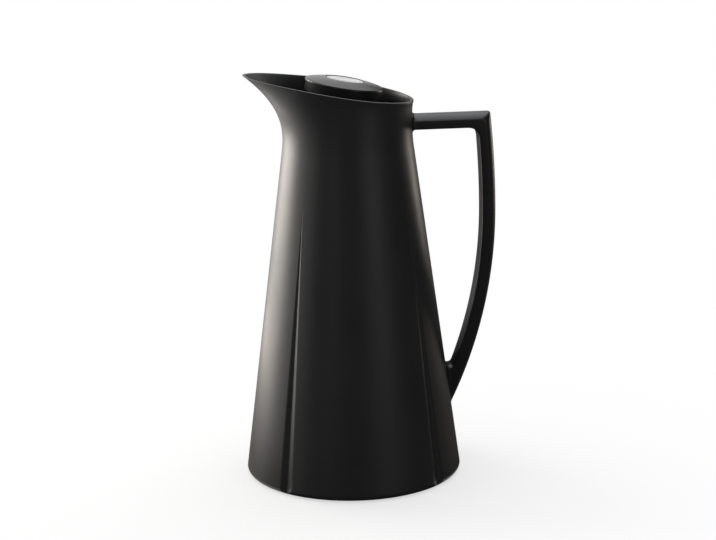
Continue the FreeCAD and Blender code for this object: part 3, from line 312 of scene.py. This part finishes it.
def handle_section():
    """Depth below the ridge and half width round the section, from the ridge over one side to the inner
    face and back: a dome on a circle, a flat side and a flat back, with small round corners. The other two
    rows are the outward directions."""
    dome_radius = (handle_half_width**2 + handle_dome**2) / (2 * handle_dome)
    dome_end = math.asin(handle_half_width / dome_radius)
    turn = np.linspace(0, dome_end - edge_round / dome_radius, 10)
    dome = np.stack([dome_radius * (1 - np.cos(turn)), dome_radius * np.sin(turn)], axis=-1)
    dome_out = np.stack([-np.cos(turn), np.sin(turn)], axis=-1)
    s = np.linspace(0, 1, 6)[1:, None]
    ridge = np.array([handle_dome, handle_half_width])
    back = np.array([-math.sin(dome_end), -math.cos(dome_end)])
    ridge_turn = ridge + edge_round * ((1 - s) ** 2 * back + s**2 * np.array([1.0, 0.0]))
    ridge_out = unit((1 - s) * np.array([-math.cos(dome_end), math.sin(dome_end)]) + s * np.array([0.0, 1.0]))
    side = np.array([[6.0, handle_half_width], [7.5, handle_half_width]])
    side_out = np.array([[0.0, 1.0], [0.0, 1.0]])
    s = np.linspace(0, 1, 6)[:, None]
    heel = np.array([handle_depth, handle_half_width])
    heel_turn = heel + inner_edge_round * ((1 - s) ** 2 * np.array([-1.0, 0.0]) + s**2 * np.array([0.0, -1.0]))
    heel_out = unit((1 - s) * np.array([0.0, 1.0]) + s * np.array([1.0, 0.0]))
    inner = np.array([[handle_depth, 5.0], [handle_depth, 2.5]])
    inner_out = np.array([[1.0, 0.0], [1.0, 0.0]])
    half = np.concatenate([dome, ridge_turn, side, heel_turn, inner])
    half_out = np.concatenate([dome_out, ridge_out, side_out, heel_out, inner_out])
    middle = np.array([[handle_depth, 0.0]])
    middle_out = np.array([[1.0, 0.0]])
    flip = np.array([1.0, -1.0])
    section = np.concatenate([half, middle, half[:0:-1] * flip])
    outward = np.concatenate([half_out, middle_out, half_out[:0:-1] * flip])
    return section[:, 0], section[:, 1], outward[:, 0], outward[:, 1]


def body_x(y, z):
    """X of the shell's outside on the handle's side, at a width and a height."""
    share = np.zeros_like(z)
    for _ in range(6):
        x = np.sqrt(neck_radius(share) ** 2 - y**2)
        share = (z + np.tan(rim_tilt * share) * x - neck_height) / (rim_height - neck_height)
        share = np.clip(share, 0, 1)
    return np.where(z < neck_height, np.sqrt(cone_radius(z) ** 2 - y**2), x)


def root_flare(gap):
    """Outward offset near the shell: the quarter circle of a root fillet, from none at its radius."""
    near = np.clip(root_round - gap, 0, root_round)
    return root_round - np.sqrt(root_round**2 - near**2)


def falling_root(function, low, high):
    """Where an array of falling functions crosses zero, by halving the interval."""
    for _ in range(50):
        middle = (low + high) / 2
        above = function(middle) > 0
        low, high = np.where(above, middle, low), np.where(above, high, middle)
    return (low + high) / 2


def handle_points():
    """Section carried along its path: each column keeps its depth below the ridge, so it runs level along
    the bar, turns the corner on a parabola and follows the two arcs of the grip down to the shell."""
    depth, width, out_depth, out_width = handle_section()
    level = handle_top_height - depth
    upper = upper_radius - depth
    lower = lower_radius - depth
    upper_middle = handle_reach - upper_radius
    lower_middle = handle_reach - lower_radius

    corner_turn = np.arcsin((level - handle_reach_height) / upper)
    corner_x = upper_middle + upper * np.cos(corner_turn)
    reach = corner_outer_reach + (corner_inner_reach - corner_outer_reach) * depth / handle_depth

    gap = np.array([-root_sink, *root_gaps])[:, None]
    flare = root_flare(np.maximum(gap, 0.0))
    root_y = width + flare * out_width
    root_z = level - flare * out_depth
    root = np.stack([body_x(root_y, root_z) + gap, root_y, root_z], axis=-1)
    bar_share = np.linspace(0, 1, 14)[1:, None]
    bar_x = root[-1, :, 0] + (corner_x - reach - root[-1, :, 0]) * bar_share
    bar = np.stack(np.broadcast_arrays(bar_x, width, level), axis=-1)

    s = np.linspace(0, 1, 10)[1:, None]
    leave_turn = corner_turn - reach / upper
    leave_x = upper_middle + upper * np.cos(leave_turn)
    leave_z = handle_reach_height + upper * np.sin(leave_turn)
    turn_x = (1 - s) ** 2 * (corner_x - reach) + 2 * s * (1 - s) * corner_x + s**2 * leave_x
    turn_z = (1 - s) ** 2 * level + 2 * s * (1 - s) * level + s**2 * leave_z
    corner = np.stack(np.broadcast_arrays(turn_x, width, turn_z), axis=-1)

    turn = leave_turn * np.linspace(1, 0, 16)[1:, None]
    grip_x = upper_middle + upper * np.cos(turn)
    grip_z = handle_reach_height + upper * np.sin(turn)
    grip = np.stack(np.broadcast_arrays(grip_x, width, grip_z), axis=-1)

    # Most columns end on the cone; those of the inner face end in a round that fills the crotch.
    def clearance(angle):
        x = lower_middle + lower * np.cos(angle)
        return x - body_x(width, handle_reach_height - lower * np.sin(angle))

    end = falling_root(clearance, np.full_like(depth, 0.1), np.full_like(depth, 0.6))
    lean = math.atan(cone_slope)

    def crotch_clearance(angle):
        x = lower_middle + (lower - crotch_round) * np.cos(angle)
        z = handle_reach_height - (lower - crotch_round) * np.sin(angle)
        return x - body_x(width, z) - crotch_round / math.cos(lean)

    touch = falling_root(crotch_clearance, np.full_like(depth, 0.1), np.full_like(depth, 0.6))
    fills = depth > handle_depth - inner_edge_round - 0.01
    last_gap = np.array(crotch_gaps)[:, None]
    stop = np.where(fills, touch, end - root_run_in / lower)
    turn = stop * np.linspace(0, 1, 26)[1:, None]
    tail_x = lower_middle + lower * np.cos(turn)
    tail_z = handle_reach_height - lower * np.sin(turn)
    tail = np.stack(np.broadcast_arrays(tail_x, width, tail_z), axis=-1)

    turn = end - root_run_in / lower * last_gap / last_gap[0]
    plain_x = lower_middle + lower * np.cos(turn)
    plain_z = handle_reach_height - lower * np.sin(turn)
    centre_x = lower_middle + (lower - crotch_round) * np.cos(touch)
    centre_z = handle_reach_height - (lower - crotch_round) * np.sin(touch)
    sweep = -touch + (lean - np.pi + touch) * np.linspace(0, 1, len(last_gap) + 1)[1:, None]
    round_x = centre_x + crotch_round * np.cos(sweep)
    round_z = centre_z + crotch_round * np.sin(sweep)
    end_x = np.where(fills, round_x, plain_x)
    end_z = np.where(fills, round_z, plain_z)
    end_gap = end_x - body_x(width, end_z)
    end_y = width + root_flare(np.maximum(end_gap, 0.0)) * out_width
    end_x[-1] = body_x(end_y[-1], end_z[-1]) - root_sink
    ending = np.stack([end_x, end_y, end_z], axis=-1)

    rows = np.concatenate([root, bar, corner, grip, tail, ending])
    poles = [np.broadcast_to(row.mean(axis=0), row.shape)[None] for row in (rows[0], rows[-1])]
    return np.concatenate([poles[0], rows, poles[1]])


handle = surface_object("handle_moulding", handle_points())
handle.data.materials.append(moulded_plastic("satin_black_abs_grip", "#0d0d0d", "#121212", 0.33, 0.05))
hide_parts("handle")
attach(handle, "jug")


# Lid cap
# The stopper's black ABS cap: a shallow dome with a hole for the button, and a straight skirt inside the
# rim. It stands on the tilted screw axis and clips over the flange of the plug.
lid_x = -1.6
lid_lift = 4.1
lid_radius = 26.4
lid_crown = 3.5
lid_edge_height = -1.5
lid_top_under = -0.9
lid_hole_radius = 12.8
skirt_radius = 25.9
skirt_inner_radius = 24.2
skirt_bottom = -7.5
clip_radius = 22.6
clip_bottom = -6.5
lid_centre = np.array([lid_x, 0.0, rim_height - math.tan(rim_tilt) * lid_x + lid_lift / math.cos(rim_tilt)])
stopper_across = np.array([math.cos(rim_tilt), 0.0, -math.sin(rim_tilt)])
stopper_aside = np.array([0.0, 1.0, 0.0])
stopper_axis = np.array([math.sin(rim_tilt), 0.0, math.cos(rim_tilt)])
lid_dome_radius = (lid_radius**2 + lid_crown**2) / (2 * lid_crown)
turning_columns = 128


def rounded_profile(corners):
    """Profile through corners of radius, height and round: each round corner becomes a parabola that starts
    and ends at that reach along its two edges."""
    corners = np.array(corners)
    place = corners[:, :2]
    back = unit(np.roll(place, 1, axis=0) - place)
    onward = unit(np.roll(place, -1, axis=0) - place)
    s = np.linspace(0, 1, 5)[None, :, None]
    reach = corners[:, 2][:, None, None]
    curve = place[:, None] + reach * ((1 - s) ** 2 * back[:, None] + s**2 * onward[:, None])
    return curve.reshape(-1, 2)


def turned_on_stopper(profile):
    """Profile of radius and height turned about the stopper's axis: the rows are the profile's points, each
    turned through a full circle about the tilted line through the middle of the lid's edge."""
    around = np.linspace(0, 2 * np.pi, turning_columns, endpoint=False)[:, None]
    level = np.cos(around) * stopper_across + np.sin(around) * stopper_aside
    return lid_centre + profile[:, 0, None, None] * level[None] + profile[:, 1, None, None] * stopper_axis


def dome_height(radius):
    """Height of the cap's dome above its edge, at a radius from its middle."""
    return lid_crown - lid_dome_radius + np.sqrt(lid_dome_radius**2 - radius**2)


dome_steps = np.linspace(lid_radius - 1.4, lid_hole_radius + 0.8, 10)
lid_profile = rounded_profile(
    [
        (lid_hole_radius, lid_top_under, 0.1),
        (clip_radius, lid_top_under, 0.1),
        (clip_radius, clip_bottom, 0.1),
        (skirt_inner_radius, clip_bottom, 0.1),
        (skirt_inner_radius, skirt_bottom, 0.2),
        (skirt_radius, skirt_bottom, 0.25),
        (skirt_radius, lid_edge_height, 0.1),
        (lid_radius, lid_edge_height, 0.2),
        (lid_radius, 0.0, 0.7),
        *[(step, dome_height(step), 0.3) for step in dome_steps],
        (lid_hole_radius, dome_height(lid_hole_radius), 0.25),
    ]
)
lid = surface_object("lid", turned_on_stopper(lid_profile), rows_close=True)
lid.data.materials.append(moulded_plastic("satin_black_abs_lid", "#161617", "#1b1b1c", 0.3, 0.05))
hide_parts("lid_cap")
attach(lid, "stopper")


# Push button
# A dish pressed from stainless steel and turned to a satin face, over the plastic carrier that works the
# valve. It stands a little above the cap, with a narrow gap all round.
button_radius = 12.5
button_edge_rise = 2.4
button_dish = 0.7
button_wall = 0.6
button_skirt = 3.2


def spun_steel(name, colour, roughness, line_spacing):
    """Stainless steel turned on a lathe: fine rings about the button's axis that draw its highlights out
    sideways, with a slow change of gloss."""
    waves_per_unit = 20
    material, tree, place = empty_material(name)
    centred = add_node(
        tree,
        "ShaderNodeMapping",
        {"Vector": place, "Location": Vector(lid_centre / 1000), "Rotation": (0.0, rim_tilt, 0.0)},
        vector_type="TEXTURE",
    )
    rings = add_node(
        tree,
        "ShaderNodeTexWave",
        {"Vector": centred.outputs["Vector"], "Scale": 1000 / line_spacing / waves_per_unit,
         "Distortion": 0.6, "Detail": 2.0},
        wave_type="RINGS",
        rings_direction="Z",
    )
    gloss = add_node(
        tree,
        "ShaderNodeMapRange",
        {"Value": rings.outputs["Fac"], "To Min": roughness - 0.04, "To Max": roughness + 0.05},
    )
    bump = add_node(
        tree, "ShaderNodeBump", {"Height": rings.outputs["Fac"], "Strength": 0.015, "Distance": 0.0001}
    )
    shader = add_node(
        tree,
        "ShaderNodeBsdfPrincipled",
        {"Base Color": linear(colour), "Metallic": 1.0, "Roughness": gloss.outputs["Result"],
         "Normal": bump.outputs["Normal"]},
    )
    finish_material(tree, shader)
    return material


dish_radius = (button_radius**2 + button_dish**2) / (2 * button_dish)
dish_steps = np.linspace(button_radius - 0.9, 0.0, 12)
dish_heights = button_edge_rise - button_dish + dish_radius - np.sqrt(dish_radius**2 - dish_steps**2)
button_under = button_edge_rise - button_dish - button_wall
button_profile = np.concatenate(
    [
        [[0.0, button_under]],
        rounded_profile(
            [
                (0.0, button_under, 0.0),
                (button_radius - button_wall, button_under, 0.1),
                (button_radius - button_wall, button_edge_rise - button_skirt, 0.1),
                (button_radius, button_edge_rise - button_skirt, 0.1),
                (button_radius, button_edge_rise, 0.45),
                *[(step, height, 0.3) for step, height in zip(dish_steps[:-1], dish_heights[:-1])],
            ]
        )[5:],
        [[0.0, button_edge_rise - button_dish]],
    ]
)
button = surface_object("button", turned_on_stopper(button_profile))
button.data.materials.append(spun_steel("spun_stainless_steel", "#a2a2a1", 0.2, 0.5))
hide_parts("push_button")
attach(button, "valve")


# Inner mouldings
# Collar, base plate, plug, carrier and valve plate are matt black polypropylene, moulded in plainer tools
# than the outside. They are wedged, screwed or clipped in place, and keep the shape of their solids.
def dress(node_name, material):
    """Gives a solid that is kept as it is its only material."""
    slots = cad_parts[node_name].data.materials
    slots.clear()
    slots.append(material)


for node_name in ("pouring_collar", "base_plate", "stopper_plug", "button_carrier", "valve_plate"):
    dress(node_name, moulded_plastic(f"matt_{node_name}", "#1e1e1e", "#242424", 0.55, 0.12))


# Screws, stem and clip
# The fixings are plain steel: cold-headed screws, and a drawn stem and clip that carry the valve. None of
# them is seen with the jug closed.
def drawn_steel(name, colour, roughness, streak_length):
    """Drawn steel wire and rod with a dull zinc finish: long streaks of gloss and a mottle in the plating."""
    material, tree, place = empty_material(name)
    stretched = add_node(tree, "ShaderNodeMapping", {"Vector": place, "Scale": (1.0, 1.0, 0.15)})
    streaks = add_node(
        tree,
        "ShaderNodeTexNoise",
        {"Vector": stretched.outputs["Vector"], "Scale": 1000 / streak_length, "Detail": 4.0},
    )
    tint = add_node(
        tree,
        "ShaderNodeMix",
        {"Factor": streaks.outputs["Fac"], "A": linear(colour), "B": linear("#8f9092")},
        data_type="RGBA",
    )
    gloss = add_node(
        tree,
        "ShaderNodeMapRange",
        {"Value": streaks.outputs["Fac"], "From Min": 0.3, "From Max": 0.7,
         "To Min": roughness - 0.06, "To Max": roughness + 0.06},
    )
    shader = add_node(
        tree,
        "ShaderNodeBsdfPrincipled",
        {"Base Color": tint.outputs["Result"], "Metallic": 1.0, "Roughness": gloss.outputs["Result"]},
    )
    finish_material(tree, shader)
    return material


for node_name in ("handle_screws", "base_screws", "valve_stem", "stem_clip", "valve_screw"):
    dress(node_name, drawn_steel(f"zinc_steel_{node_name}", "#c4c5c6", 0.34, 1.2))


# Return spring
# Five turns of zinc-plated steel wire that stand on the floor of the plug's well and push up the carrier. It
# is coiled cold. In the jug it shortens by the button's travel; here it keeps its length and moves with the
# stopper.
spring_radius = 7.3
spring_wire_radius = 0.55
spring_turns = 5
spring_rows_per_turn = 36
wire_columns = 12
spring_gap = 0.1
well_floor_height = -17.0
carrier_under_height = -1.2


def spring_points():
    """Round wire along a helix about the stopper's axis: each row is one ring of the wire, square to it."""
    bottom = well_floor_height + spring_gap + spring_wire_radius
    top = carrier_under_height - spring_gap - spring_wire_radius
    around = np.linspace(0, 2 * np.pi * spring_turns, spring_rows_per_turn * spring_turns + 1)[:, None]
    climb = (top - bottom) / (2 * np.pi * spring_turns)
    outward = np.stack([np.cos(around), np.sin(around), 0 * around], axis=-1)
    ahead = unit(np.stack([-np.sin(around), np.cos(around), 0 * around + climb / spring_radius], axis=-1))
    upward = np.cross(outward, ahead)
    turn = np.linspace(0, 2 * np.pi, wire_columns, endpoint=False)[None, :, None]
    middle = spring_radius * outward + (bottom + climb * around)[:, :, None] * np.array([0.0, 0.0, 1.0])
    rows = middle + spring_wire_radius * (np.cos(turn) * outward + np.sin(turn) * upward)
    poles = [np.broadcast_to(end, rows[:1].shape) for end in (middle[:1], middle[-1:])]
    rows = np.concatenate([poles[0], rows, poles[1]])
    return lid_centre + rows @ np.stack([stopper_across, stopper_aside, stopper_axis])


spring = surface_object("spring", spring_points())
spring.data.materials.append(drawn_steel("zinc_steel_spring_wire", "#c4c5c6", 0.34, 1.2))
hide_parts("return_spring")
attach(spring, "stopper")
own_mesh(spring)


# Vacuum flask
# Two walls of blown glass, silvered on the sides that face the vacuum and drawn together at the neck. The
# silver shows through the glass, which is slightly wavy from the blowing. It stands on a rubber cushion.
def silvered_glass(name, colour, wave_size):
    """Silver behind clear glass: a mirror under a glass coat, with slow waves from the blowing and a faint
    browning of the silver."""
    material, tree, place = empty_material(name)
    waves = add_node(tree, "ShaderNodeTexNoise", {"Vector": place, "Scale": 1000 / wave_size, "Detail": 1.0})
    tint = add_node(
        tree,
        "ShaderNodeMix",
        {"Factor": waves.outputs["Fac"], "A": linear(colour), "B": linear("#cfc9bd")},
        data_type="RGBA",
    )
    bump = add_node(
        tree, "ShaderNodeBump", {"Height": waves.outputs["Fac"], "Strength": 0.25, "Distance": 0.0008}
    )
    shader = add_node(
        tree,
        "ShaderNodeBsdfPrincipled",
        {"Base Color": tint.outputs["Result"], "Metallic": 1.0, "Roughness": 0.08, "Coat Weight": 1.0,
         "Coat Roughness": 0.03, "Normal": bump.outputs["Normal"]},
    )
    finish_material(tree, shader)
    return material


for node_name in ("glass_outer_wall", "glass_inner_wall"):
    dress(node_name, silvered_glass(f"silvered_{node_name}", "#e2e3e4", 30.0))


# Rubber cushions and rings
# The foot ring, the flask's cushion, the ring round the collar and the spacers between the glass walls are
# compression-moulded black rubber, dull, with a bloom of pale dust.
def moulded_rubber(name, colour, bloom_colour, grain_size):
    """Compression-moulded rubber: dull, finely pitted, with a pale bloom in patches."""
    bloom_size = 12.0
    material, tree, place = empty_material(name)
    pits = add_node(tree, "ShaderNodeTexNoise", {"Vector": place, "Scale": 1000 / grain_size, "Detail": 4.0})
    bloom = add_node(tree, "ShaderNodeTexNoise", {"Vector": place, "Scale": 1000 / bloom_size, "Detail": 3.0})
    tint = add_node(
        tree,
        "ShaderNodeMix",
        {"Factor": bloom.outputs["Fac"], "A": linear(colour), "B": linear(bloom_colour)},
        data_type="RGBA",
    )
    bump = add_node(
        tree, "ShaderNodeBump", {"Height": pits.outputs["Fac"], "Strength": 0.2, "Distance": 0.0002}
    )
    shader = add_node(
        tree,
        "ShaderNodeBsdfPrincipled",
        {"Base Color": tint.outputs["Result"], "Roughness": 0.82, "Specular IOR Level": 0.2,
         "Normal": bump.outputs["Normal"]},
    )
    finish_material(tree, shader)
    return material


for node_name in ("foot_ring", "base_cushion", "collar_oring", "glass_spacers"):
    dress(node_name, moulded_rubber(f"black_rubber_{node_name}", "#0f0f0f", "#1a1a1a", 0.5))


# Silicone seals
# The neck gasket and the stopper's three seals are milky silicone, soft and half clear, cast in smooth tools.
# Each is held by the pieces that it seals against each other.
def milky_silicone(name, colour):
    """Cast silicone: light passes a few millimetres into it, and its clouding varies slowly."""
    cloud_size = 9.0
    material, tree, place = empty_material(name)
    cloud = add_node(tree, "ShaderNodeTexNoise", {"Vector": place, "Scale": 1000 / cloud_size, "Detail": 2.0})
    tint = add_node(
        tree,
        "ShaderNodeMix",
        {"Factor": cloud.outputs["Fac"], "A": linear(colour), "B": linear("#c9cac5")},
        data_type="RGBA",
    )
    shader = add_node(
        tree,
        "ShaderNodeBsdfPrincipled",
        {"Base Color": tint.outputs["Result"], "Roughness": 0.45, "IOR": 1.41, "Subsurface Weight": 0.35,
         "Subsurface Radius": (0.003, 0.003, 0.003)},
    )
    finish_material(tree, shader)
    return material


for node_name in ("neck_gasket", "stopper_seal", "stem_seal", "valve_seal"):
    dress(node_name, milky_silicone(f"cast_silicone_{node_name}", "#dcdcd8"))


# Studio
# A pale floor and a white surround, with a large soft lamp behind to the left, one overhead and small ones
# for the edges. Dark cards shape the reflections, as round a black product in a studio, and aren't seen
# themselves. Lengths from here on are metres.
floor_size = 8.0
floor_mesh = bpy.data.meshes.new("floor")
corners = [(-1, -1), (1, -1), (1, 1), (-1, 1)]
floor_mesh.from_pydata([(x * floor_size, y * floor_size, 0.0) for x, y in corners], [], [(0, 1, 2, 3)])
floor = bpy.data.objects.new("floor", floor_mesh)
bpy.context.collection.objects.link(floor)

material, tree, place = empty_material("pale_floor_paper")
distance = add_node(tree, "ShaderNodeVectorMath", {0: place}, operation="LENGTH")
far = add_node(
    tree,
    "ShaderNodeMapRange",
    {"Value": distance.outputs["Value"], "From Min": 0.06, "From Max": 0.36, "To Min": 0.6},
    interpolation_type="SMOOTHSTEP",
)
paper = add_node(tree, "ShaderNodeBsdfDiffuse", {"Color": linear("#f3f3f2")})
white = add_node(tree, "ShaderNodeEmission", {"Color": linear("#ffffff"), "Strength": 1.0})
blend = add_node(
    tree,
    "ShaderNodeMixShader",
    {0: far.outputs["Result"], 1: paper.outputs["BSDF"], 2: white.outputs["Emission"]},
)
add_node(tree, "ShaderNodeOutputMaterial", {"Surface": blend.outputs["Shader"]})
floor.data.materials.append(material)

world = bpy.data.worlds.new("studio")
bpy.context.scene.world = world
world.use_nodes = True
tree = world.node_tree
tree.nodes.clear()
ray = add_node(tree, "ShaderNodeLightPath")
seen = add_node(
    tree,
    "ShaderNodeMath",
    {0: ray.outputs["Is Camera Ray"], 1: ray.outputs["Is Glossy Ray"]},
    operation="ADD",
)
seen = add_node(
    tree,
    "ShaderNodeMath",
    {0: seen.outputs["Value"], 1: ray.outputs["Is Transmission Ray"]},
    operation="ADD",
    use_clamp=True,
)
room = add_node(tree, "ShaderNodeBackground", {"Color": linear("#ffffff"), "Strength": 0.5})
backdrop = add_node(tree, "ShaderNodeBackground", {"Color": linear("#ffffff"), "Strength": 1.0})
surround = add_node(
    tree,
    "ShaderNodeMixShader",
    {0: seen.outputs["Value"], 1: room.outputs["Background"], 2: backdrop.outputs["Background"]},
)
add_node(tree, "ShaderNodeOutputWorld", {"Surface": surround.outputs["Shader"]})

dark_card, tree, place = empty_material("black_card")
shader = add_node(tree, "ShaderNodeBsdfPrincipled", {"Base Color": linear("#101010"), "Roughness": 0.9})
finish_material(tree, shader)


def aimed(position, target):
    """Turn that points an object's -Z from a position to a target."""
    return (Vector(target) - Vector(position)).to_track_quat("-Z", "Y").to_matrix().to_4x4()


def card(name, position, target, width, height):
    """Dark card that shows only in reflections."""
    mesh = bpy.data.meshes.new(name)
    mesh.from_pydata([(x * width / 2, y * height / 2, 0.0) for x, y in corners], [], [(0, 1, 2, 3)])
    mesh.transform(Matrix.Translation(position) @ aimed(position, target))
    mesh.materials.append(dark_card)
    made = bpy.data.objects.new(name, mesh)
    bpy.context.collection.objects.link(made)
    made.visible_camera = False
    made.visible_diffuse = False
    made.visible_shadow = False
    made.visible_transmission = False


card("front_card", (0.7, -1.9, 0.8), (0.0, 0.0, 0.6), 4.6, 3.2)
card("right_card", (1.7, 0.0, 0.8), (0.0, 0.0, 0.6), 3.0, 2.6)
card("left_front_card", (-1.35, -1.2, 0.8), (0.0, 0.0, 0.6), 0.9, 2.6)
card("floor_card", (0.3, -1.1, 0.0006), (0.3, -1.1, -1.0), 3.6, 2.1)
card("back_floor_card", (0.75, 0.65, 0.004), (0.75, 0.65, -1.0), 1.9, 1.4)
card("back_card", (0.95, 1.4, 0.35), (0.0, 0.0, 0.2), 1.3, 1.2)
card("grip_card", (0.03, 0.29, 0.13), (0.03, 0.0, 0.13), 0.2, 0.26)


def soft_lamp(name, position, target, width, height, watts, colour):
    """Large soft lamp that the camera doesn't see."""
    lamp = bpy.data.lights.new(name, "AREA")
    lamp.shape = "RECTANGLE"
    lamp.size = width
    lamp.size_y = height
    lamp.energy = watts
    lamp.color = linear(colour)[:3]
    made = bpy.data.objects.new(name, lamp)
    made.matrix_world = Matrix.Translation(position) @ aimed(position, target)
    made.visible_camera = False
    bpy.context.collection.objects.link(made)


soft_lamp("left_softbox", (-0.8, 0.62, 0.25), (0.0, 0.0, 0.2), 0.7, 0.8, 13.5, "#fff8ee")
soft_lamp("low_strip", (-0.3, 0.24, 0.032), (0.0, 0.0, 0.032), 0.3, 0.06, 0.16, "#fff4ea")
soft_lamp("right_strip", (0.9, 0.6, 0.24), (0.0, 0.0, 0.15), 0.22, 0.46, 1.6, "#fff5ea")
soft_lamp("front_fill", (0.75, -1.2, 0.4), (0.0, 0.0, 0.15), 0.6, 1.0, 1.4, "#ffffff")
soft_lamp("back_window", (0.23, 1.2, 0.52), (0.0, 0.0, 0.27), 0.2, 0.16, 0.06, "#ffffff")
soft_lamp("top_softbox", (0.1, 0.25, 1.5), (0.0, 0.0, 0.2), 1.2, 1.6, 11.0, "#f4f6ff")


# Camera
# It stands in front and a little above, at the photograph's angle, with a long lens.
camera_target = Vector((0.00528, 0.0, 0.1405))
camera_distance = 1.419
camera_azimuth = math.radians(-6.45)
camera_elevation = math.radians(14.14)
camera_roll = math.radians(-1.0)
lens = bpy.data.cameras.new("camera")
lens.sensor_width = 36.0
lens.lens = 105.0
camera = bpy.data.objects.new("camera", lens)
turn = Euler((math.pi / 2 - camera_elevation, 0.0, camera_azimuth)).to_matrix()
turn = turn @ Matrix.Rotation(camera_roll, 3, "Z")
camera_place = camera_target + turn @ Vector((0.0, 0.0, camera_distance))
camera.matrix_world = Matrix.Translation(camera_place) @ turn.to_4x4()
bpy.context.collection.objects.link(camera)
bpy.context.scene.camera = camera
bpy.context.scene.view_settings.view_transform = "Standard"
